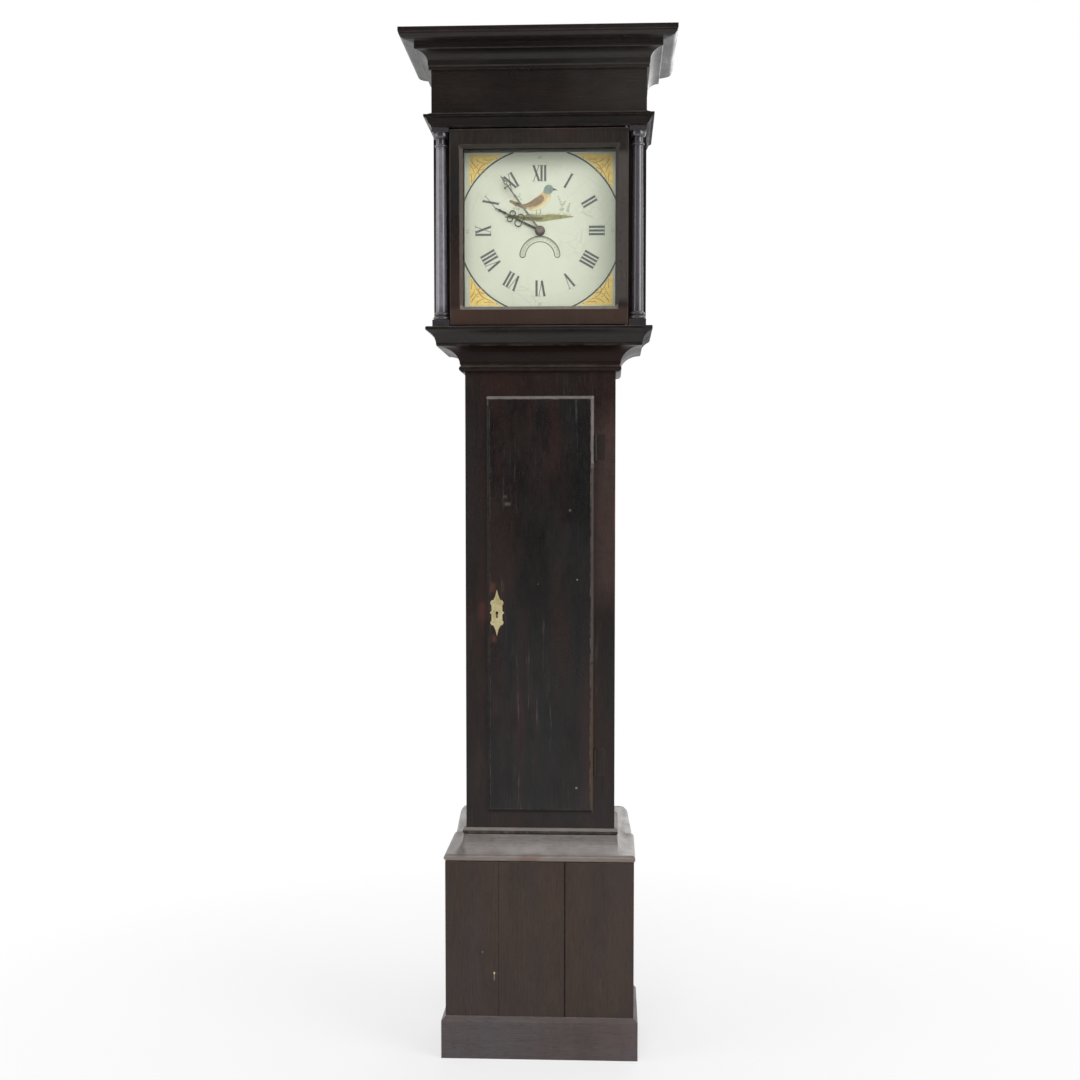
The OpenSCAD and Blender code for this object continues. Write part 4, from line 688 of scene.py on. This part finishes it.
def addNumerals():
    look = numerals
    strokes = []
    for hour, word in enumerate(hourWords):
        widths = [look["gap"] if letter == "I" else look["splay"] + look["space"] for letter in word]
        at = -sum(widths) / 2
        letters = []
        for letter, width in zip(word, widths):
            letters += letterStrokes(letter, at + width / 2)
            at += width
        strokes += turnedStrokes(letters, radians(30 * hour), look["radius"])
    painted(paintStrokes("hourNumerals", strokes), "numeralPaint")


def arcPoints(middle, radius, start, end, steps):
    turns = [radians(start + (end - start) * i / steps) for i in range(steps + 1)]
    return [(middle[0] + radius * cos(a), middle[1] + radius * sin(a)) for a in turns]


# A closed loop drawn smoothly through a few points, given in millimetres from the dial's centre
def smoothLoop(points, steps=6):
    count = len(points)
    loop = []
    for i in range(count):
        p0, p1, p2, p3 = (points[(i + k) % count] for k in (-1, 0, 1, 2))
        for k in range(steps):
            t = k / steps
            loop.append(tuple(0.0005 * (2 * p1[j] + (p2[j] - p0[j]) * t
                                        + (2 * p0[j] - 5 * p1[j] + 4 * p2[j] - p3[j]) * t * t
                                        + (3 * p1[j] - p0[j] - 3 * p2[j] + p3[j]) * t ** 3) for j in (0, 1)))
    return loop


# Flat patches of paint from closed outlines; an outline inside another one is a hole
def paintPatch(name, loops, thick=coat):
    outline = bpy.data.curves.new(name, "CURVE")
    outline.dimensions = "2D"
    outline.fill_mode = "BOTH"
    outline.extrude = thick / 2
    for loop in loops:
        spline = outline.splines.new("POLY")
        spline.points.add(len(loop) - 1)
        spline.points.foreach_set("co", [c for x, z in loop for c in (x, z, 0, 1)])
        spline.use_cyclic_u = True
    return settle(curvePiece(name, outline), (0, dialFront - thick / 2, dialZ))


# A curve or text lying in its own plane becomes a mesh, and is then stood up at its place on the dial
def settle(piece, place, turn=0.0):
    pickOut(piece)
    bpy.ops.object.convert(target="MESH")
    piece = bpy.context.object
    piece.rotation_euler = (pi / 2, turn, 0)
    piece.location = place
    applyPlace()
    weld(0.000002)
    return piece


def joined(pieces, name):
    pickOut(pieces[0])
    for piece in pieces:
        piece.select_set(True)
    bpy.ops.object.join()
    pieces[0].name = name
    return pieces[0]


def addFigure(text, size, at, turn, front=dialFront):
    bpy.ops.object.text_add()
    figure = bpy.context.object
    figure.data.body = text
    figure.data.size = size
    figure.data.align_x = "CENTER"
    figure.data.align_y = "CENTER"
    figure.data.extrude = coat / 2
    figure.data.resolution_u = 3
    return settle(figure, (at[0], front - coat / 2, dialZ + at[1]), turn)


def around(angle, radius, middle=(0, 0)):
    a = radians(angle)
    return (middle[0] + radius * sin(a), middle[1] + radius * cos(a))


corners = ((1, 1), (-1, 1), (-1, -1), (1, -1))
ring = {"arc": 0.1545, "arcWidth": 0.0029, "arcFrom": 21, "arcTo": 71, "goldArc": 0.1578,
        "goldX": (0.1335, 0.1375), "goldZ": (0.1395, 0.1425), "goldThick": 0.0002,
        "dots": 0.1272, "dotSize": 0.00055, "quarters": 0.1368, "quarterSize": 0.0085}


def mirrored(points, sideX, sideZ):
    return [(x * sideX, z * sideZ) for x, z in points]


def addDialRing():
    look = ring
    half, start, end = look["arcWidth"] / 2, look["arcFrom"], look["arcTo"]
    arcs, golds = [], []
    for sideX, sideZ in corners:
        arc = (arcPoints((0, 0), look["arc"] + half, start, end, 24)
               + arcPoints((0, 0), look["arc"] - half, end, start, 24))
        arcs.append(mirrored(arc, sideX, sideZ))
        goldX, goldZ = look["goldX"][sideX > 0], look["goldZ"][sideZ > 0]
        low, high = degrees(acos(goldX / look["goldArc"])), degrees(asin(goldZ / look["goldArc"]))
        gold = [(goldX, goldZ)] + arcPoints((0, 0), look["goldArc"], high, low, 20)
        golds.append(mirrored(gold, sideX, sideZ))
    painted(paintPatch("dialArcs", arcs), "arcPaint")
    painted(paintPatch("cornerGold", golds, look["goldThick"]), "cornerGold")
    dots = [arcPoints(around(6 * i, look["dots"]), look["dotSize"], 0, 315, 7) for i in range(60)]
    painted(paintPatch("minuteDots", dots), "faintPaint")
    quarters = [addFigure(text, look["quarterSize"], around(angle, look["quarters"]), radians(angle))
                for text, angle in (("60", 0), ("15", 90), ("30", 180), ("45", 270))]
    painted(joined(quarters, "quarterFigures"), "faintPaint")


# Raised scrolls over each corner's gold, drawn for one corner, with the points in millimetres
scroll = {"depth": 0.00065, "lift": 0.0003, "bead": 0.0013, "beadLift": 0.0002, "beadFlat": 0.6,
          "lines": [[(126, 92), (124, 104), (117, 113), (108, 118), (103, 113), (106, 108), (111, 110)],
                    [(92, 130), (104, 127), (113, 120), (119, 110), (114, 105), (109, 108), (110, 113)],
                    [(131, 134), (126, 124), (117, 117)], [(133, 124), (127, 119), (124, 109)],
                    [(121, 135), (117, 129), (107, 127)], [(131, 108), (128, 99), (130, 90)],
                    [(107, 134), (98, 131), (88, 134)]],
          "beads": [(132, 84), (82, 136), (128, 128), (118, 123), (123, 118)]}


def addCornerScrolls():
    look = scroll
    lines = bpy.data.curves.new("cornerScrolls", "CURVE")
    lines.dimensions = "3D"
    lines.bevel_depth = look["depth"]
    lines.bevel_resolution = 1
    lines.use_fill_caps = True
    lines.resolution_u = 4
    for sideX, sideZ in corners:
        for line in look["lines"]:
            spline = lines.splines.new("NURBS")
            spline.points.add(len(line) - 1)
            for i, (x, z) in enumerate(line):
                spline.points[i].co = (x * sideX / 1000, z * sideZ / 1000, 0, 1)
                spline.points[i].radius = 0.45 + 0.75 * sin(pi * (i + 0.6) / len(line))
            spline.use_endpoint_u = True
            spline.order_u = 4 if len(line) > 3 else 3
    piece = settle(curvePiece("cornerScrolls", lines), (0, dialFront - look["lift"], dialZ))
    beads = []
    for sideX, sideZ in corners:
        for x, z in look["beads"]:
            place = (x * sideX / 1000, dialFront - look["beadLift"], dialZ + z * sideZ / 1000)
            bpy.ops.mesh.primitive_uv_sphere_add(segments=10, ring_count=6, radius=look["bead"],
                                                 location=place)
            mode("EDIT")
            bpy.ops.transform.resize(value=(1, look["beadFlat"], 1))
            mode("OBJECT")
            applyPlace()
            beads.append(bpy.context.object)
    painted(joined([piece] + beads, "cornerScrolls"), "scrollGold", smooth=50)


calendar = {"middle": (0, -0.048), "radius": 0.033, "half": 0.004, "angle": 84, "rim": 0.0021,
            "lip": 0.0002, "front": -0.0392, "figure": 0.0052}


def mouthLoop(grow):
    look = calendar
    w = look["half"] + grow
    left, right = 90 + look["angle"], 90 - look["angle"]
    ends = [(look["middle"][0] + look["radius"] * cos(radians(a)),
             look["middle"][1] + look["radius"] * sin(radians(a))) for a in (left, right)]
    return (arcPoints(look["middle"], look["radius"] + w, right, left, 42)
            + arcPoints(ends[0], w, left + 20, left + 160, 7)
            + arcPoints(look["middle"], look["radius"] - w, left, right, 42)
            + arcPoints(ends[1], w, right + 200, right + 340, 7))


def addCalendar():
    look = calendar
    rim = paintPatch("calendarRim", [mouthLoop(look["rim"]), mouthLoop(look["lip"])], look["lip"])
    painted(rim, "rimPaint")
    days = []
    for day in range(1, 32):
        turn = 360 * (day - 1) / 31
        place = around(turn, look["radius"], look["middle"])
        days.append(addFigure(str(day), look["figure"], place, radians(turn), look["front"]))
    done(joined(days, "calendarFigures"), "calendar", finish["dayPaint"])


# A small bird of no special kind on a mossy bank, in millimetres from the dial's centre
bird = {
    "bank": [(-68, 26), (-52, 31), (-36, 28), (-18, 32), (2, 29), (22, 31), (44, 29), (64, 26), (46, 23),
             (24, 20), (2, 17), (-22, 19), (-46, 22)],
    "bankDark": [(-60, 27), (-46, 29), (-30, 26), (-12, 27), (6, 24), (-4, 20), (-24, 22), (-44, 24)],
    "tail": [(-20, 47), (-36, 50), (-54, 58), (-57, 54), (-40, 45), (-24, 41)],
    "body": [(12, 76), (20, 70), (20, 61), (14, 50), (4, 42), (-10, 38), (-22, 40), (-27, 46), (-18, 54),
             (-6, 63), (3, 71)],
    "belly": [(19, 66), (18, 58), (12, 48), (2, 41.5), (-9, 38.6), (-16, 40), (-6, 44), (6, 51), (13, 59)],
    "wing": [(3, 67), (-8, 62), (-22, 53), (-39, 48), (-36, 45), (-20, 44), (-6, 47), (5, 54), (8, 61)],
    "head": [(7, 77), (11, 84), (18, 86), (24, 82), (25, 75), (20, 69), (12, 69), (7, 72)],
    "beak": [(24, 80), (34, 75.5), (24.5, 75)], "eye": (19.5, 78.5), "eyeSize": 1.1,
    "feathers": [((2, 60), (-14, 51), 0.6), ((5, 57), (-12, 48), 0.6), ((-4, 60), (-24, 50), 0.6),
                 ((-26, 47.5), (-50, 55), 0.6), ((-25, 45), (-50, 53), 0.5), ((-14, 52), (-33, 47.5), 0.5)],
    "legs": [((0, 41), (2, 33), 0.9), ((2, 33), (0, 29), 0.8), ((-7, 40), (-6, 33), 0.9),
             ((-6, 33), (-8, 29), 0.8), ((2, 30), (6, 29), 0.6), ((-6, 30), (-2, 29), 0.6)],
}
# Sprays of leaves at both ends of the bank and blades of grass along it, in millimetres too
sprays = {"seed": 11, "steps": 7, "spread": (38, 62), "long": (3.4, 5.2), "wide": 0.9, "stem": 0.45,
          "stems": [((-46, 29), 8, 40), ((-40, 30), -4, 33), ((-53, 29), 17, 30), ((44, 29), -9, 34),
                    ((38, 30), 10, 24), ((52, 28), 4, 22)],
          "blades": 54, "foot": 27, "bladeAt": (-60, 58), "bladeLean": (-2.5, 2.5), "bladeTall": (3, 7.5)}


def inMetres(rows):
    return [((a[0] / 1000, a[1] / 1000), (b[0] / 1000, b[1] / 1000), w / 1000) for a, b, w in rows]


def addBird():
    layers = [("bank", "mossPaint", 0.00010), ("bankDark", "darkMossPaint", 0.00014),
              ("tail", "featherPaint", 0.00014), ("body", "breastPaint", 0.00018),
              ("belly", "creamPaint", 0.00022), ("wing", "featherPaint", 0.00026),
              ("head", "headPaint", 0.00028), ("beak", "inkPaint", 0.00030)]
    for part, paint, thick in layers:
        steps = 1 if part == "beak" else 6
        painted(paintPatch("bird" + part.capitalize(), [smoothLoop(bird[part], steps)], thick), paint)
    eye = arcPoints([c / 1000 for c in bird["eye"]], bird["eyeSize"] / 1000, 0, 324, 9)
    painted(paintPatch("birdEye", [eye], 0.00033), "inkPaint")
    painted(paintStrokes("birdFeathers", inMetres(bird["feathers"]), 0.0003), "inkPaint")
    painted(paintStrokes("birdLegs", inMetres(bird["legs"]), 0.0002), "inkPaint")


def addSprays():
    look = sprays
    pick = random.Random(look["seed"])
    steps = look["steps"]
    stems, leaves, grass = [], [], []
    for (x, z), lean, tall in look["stems"]:
        points = [(x + lean * (i / steps) ** 1.6, z + tall * i / steps) for i in range(steps + 1)]
        stems += [(points[i], points[i + 1], look["stem"]) for i in range(steps)]
        for i in range(2, steps + 1):
            for side in (-1, 1):
                a = radians(90 - side * pick.uniform(*look["spread"]))
                long = pick.uniform(*look["long"]) * (1.15 - 0.6 * i / steps)
                px, pz = points[i]
                midX, midZ = px + long * 0.5 * cos(a), pz + long * 0.5 * sin(a)
                outX, outZ = look["wide"] * sin(a), look["wide"] * cos(a)
                tip = (px + long * cos(a), pz + long * sin(a))
                leaf = [(px, pz), (midX - outX, midZ + outZ), tip, (midX + outX, midZ - outZ)]
                leaves.append(smoothLoop(leaf, 3))
    for i in range(look["blades"]):
        x = pick.uniform(*look["bladeAt"])
        lean = pick.uniform(*look["bladeLean"])
        grass.append(((x, look["foot"]), (x + lean, look["foot"] + pick.uniform(*look["bladeTall"])), 0.5))
    painted(paintStrokes("sprayStems", inMetres(stems)), "sprayPaint")
    painted(paintPatch("sprayLeaves", leaves, 0.00014), "sprayPaint")
    painted(paintStrokes("grassBlades", inMetres(grass), 0.00016), "mossPaint")


washer = {"front": -0.0522, "back": -0.0503, "radius": 0.0078, "taper": 0.8, "rim": 0.0022, "dish": 0.0006,
          "step": 0.001, "rise": -0.0005, "bevel": 0.0003}


# The stepped washer on the hands' collet
def addHandWasher():
    look = washer
    middle = (0, (look["front"] + look["back"]) / 2, dialZ)
    bpy.ops.object.select_all(action="DESELECT")
    bpy.ops.mesh.primitive_cylinder_add(vertices=40, radius=look["radius"],
                                        depth=look["back"] - look["front"], location=middle,
                                        rotation=(pi / 2, 0, 0))
    piece = bpy.context.object
    piece.name = "handWasher"
    applyPlace()
    mode("EDIT")
    bpy.ops.mesh.select_mode(type="FACE")
    bpy.ops.mesh.select_all(action="DESELECT")
    mode("OBJECT")
    for face in piece.data.polygons:
        face.select = face.normal.y < -0.9
    mode("EDIT")
    bpy.ops.transform.resize(value=(look["taper"], 1, look["taper"]))
    bpy.ops.mesh.inset(thickness=look["rim"], depth=look["dish"])
    bpy.ops.mesh.inset(thickness=look["step"], depth=look["rise"])
    mode("OBJECT")
    applyModifier(piece, "BEVEL", width=look["bevel"], segments=2, limit_method="ANGLE")
    done(piece, "minute_work", finish["copperWasher"], smooth=40)


rope = {"y": 0.0255, "pulleyX": 0.036, "pulleyZ": 1.5669, "line": 0.020, "sheaveZ": 1.1939, "sheave": 0.016,
        "slackHalf": 0.018, "slackZ": 0.3619, "slackBack": 0.0372, "hold": 0.02, "thick": 0.0026,
        "lobe": 0.00045, "sides": 12, "pitch": 0.019, "step": 0.0021, "bends": 24}


def evenly(points, step):
    lengths = [0.0]
    for a, b in zip(points, points[1:]):
        lengths.append(lengths[-1] + (Vector(b) - Vector(a)).length)
    count = max(2, round(lengths[-1] / step))
    result, j = [], 0
    for i in range(count + 1):
        want = lengths[-1] * i / count
        while j < len(points) - 2 and lengths[j + 1] < want:
            j += 1
        share = (want - lengths[j]) / max(lengths[j + 1] - lengths[j], 1e-9)
        result.append(Vector(points[j]).lerp(Vector(points[j + 1]), share))
    return result


# One laid rope: a three-lobed section swept along its route with a steady twist
def layRope(name, route):
    look = rope
    bpy.ops.curve.primitive_bezier_circle_add(radius=look["thick"])
    section = bpy.context.object
    section.data.splines.clear()
    loop = section.data.splines.new("POLY")
    loop.points.add(look["sides"] - 1)
    for i in range(look["sides"]):
        a = 2 * pi * i / look["sides"]
        r = look["thick"] + look["lobe"] * cos(3 * a)
        loop.points[i].co = (r * cos(a), r * sin(a), 0, 1)
    loop.use_cyclic_u = True
    line = bpy.data.curves.new(name, "CURVE")
    line.dimensions = "3D"
    line.bevel_mode = "OBJECT"
    line.bevel_object = section
    line.use_fill_caps = True
    points = evenly(route, look["step"])
    spline = line.splines.new("POLY")
    spline.points.add(len(points) - 1)
    for i, point in enumerate(points):
        spline.points[i].co = (*point, 1)
        spline.points[i].tilt = 2 * pi * i * look["step"] / look["pitch"]
    pickOut(curvePiece(name, line))
    bpy.ops.object.convert(target="MESH")
    piece = bpy.context.object
    bpy.data.objects.remove(section)
    weld(0.00001)
    return piece


def ropeArc(x, z, radius, start, end, back=0.0):
    return [(px, rope["y"] + back, pz) for px, pz in arcPoints((x, z), radius, start, end, rope["bends"])]


def addRope():
    look = rope
    x, z, r = look["pulleyX"], look["pulleyZ"], look["line"]
    driving = (ropeArc(-x, z, r, 90, 0) + ropeArc(0, look["sheaveZ"], look["sheave"], 180, 360)
               + ropeArc(x, z, r, 180, 90))
    slack = (ropeArc(x, z, r, 90, 0)
             + ropeArc(0, look["slackZ"], look["slackHalf"], 0, -180, look["slackBack"])
             + ropeArc(-x, z, r, 180, 90))
    for name, route, body, low in (("drivingRope", driving, "driving_weight", look["sheaveZ"] + look["hold"]),
                                   ("slackRope", slack, "tension_weight", look["slackZ"] + look["hold"])):
        piece = done(layRope(name, route), None, finish["ropeFibre"], smooth=60)
        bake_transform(piece)
        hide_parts("drive_rope")


print("stage: studio")
addCamera()
studio = {"floor": 14, "paper": "#f6f6f6", "near": 0.3, "far": 1.5, "least": 0.6, "aim": (0, 0, 1.0),
          "lamps": [("rightLamp", (2.7, -1.9, 2.4), 2.0, 50, True),
                    ("leftLamp", (-3.0, -1.5, 1.7), 2.0, 27, True),
                    ("topFrontLamp", (-0.3, -3.7, 4.4), 2.4, 84, False),
                    ("backLamp", (0.4, 2.8, 2.6), 2.2, 32, True)],
          "ambient": 0.36, "frontGloss": 0.1, "glossFrom": -0.8, "glossTo": -0.25}


def addStudio():
    look = studio
    bpy.ops.mesh.primitive_plane_add(size=look["floor"], location=(0, 0, 0))
    floor = bpy.context.object
    floor.name = "studioFloor"
    material = bpy.data.materials.new("floorPaper")
    material.use_nodes = True
    tree = material.node_tree
    tree.nodes.clear()
    place = addNode(tree, "ShaderNodeTexCoord").outputs["Object"]
    away = vectors(tree, "LENGTH", place, output="Value")
    far = ranged(tree, away, look["near"], look["far"], look["least"], 1.0)
    paper = addNode(tree, "ShaderNodeBsdfDiffuse", {"Color": look["paper"]})
    white = addNode(tree, "ShaderNodeEmission", {"Strength": 1.0})
    rays = addNode(tree, "ShaderNodeLightPath")
    seen = maths(tree, "MAXIMUM", maths(tree, "MAXIMUM", rays.outputs["Is Camera Ray"],
                                        rays.outputs["Is Glossy Ray"]), rays.outputs["Is Transmission Ray"])
    share = times(tree, seen, far)
    shown = addNode(tree, "ShaderNodeMixShader", {0: share, 1: paper.outputs[0], 2: white.outputs[0]})
    out = addNode(tree, "ShaderNodeOutputMaterial")
    tree.links.new(shown.outputs[0], out.inputs["Surface"])
    floor.data.materials.append(material)
    for name, place, size, power, glossy in look["lamps"]:
        aim = Vector(look["aim"]) - Vector(place)
        turn = aim.to_track_quat("-Z", "Y").to_euler()
        bpy.ops.object.light_add(type="AREA", location=place, rotation=turn)
        lamp = bpy.context.object
        lamp.name = name
        lamp.data.size = size
        lamp.data.energy = power
        lamp.visible_glossy = glossy
    world = bpy.data.worlds.new("studioWorld")
    bpy.context.scene.world = world
    world.use_nodes = True
    tree = world.node_tree
    background = tree.nodes["Background"]
    background.inputs["Color"].default_value = (1, 1, 1, 1)
    rays = addNode(tree, "ShaderNodeLightPath")
    plain = maths(tree, "MAXIMUM", rays.outputs["Is Camera Ray"], rays.outputs["Is Transmission Ray"])
    # The studio is white round the sides and back and dim on the side that the photographer stands on
    towards = partsOf(tree, addNode(tree, "ShaderNodeTexCoord").outputs["Generated"])[1]
    reflected = ranged(tree, towards, look["glossFrom"], look["glossTo"], look["frontGloss"], 1.0)
    gloss = times(tree, rays.outputs["Is Glossy Ray"], reflected)
    other = times(tree, maths(tree, "SUBTRACT", 1.0, rays.outputs["Is Glossy Ray"]), look["ambient"])
    level = maths(tree, "MAXIMUM", plain, maths(tree, "ADD", gloss, other))
    tree.links.new(level, background.inputs["Strength"])


addStudio()
bpy.context.scene.view_settings.view_transform = "Standard"

print("stage: dial painting")
addNumerals()
addDialRing()
addCornerScrolls()
addCalendar()
addBird()
addSprays()
addHandWasher()

print("stage: rope")
addRope()
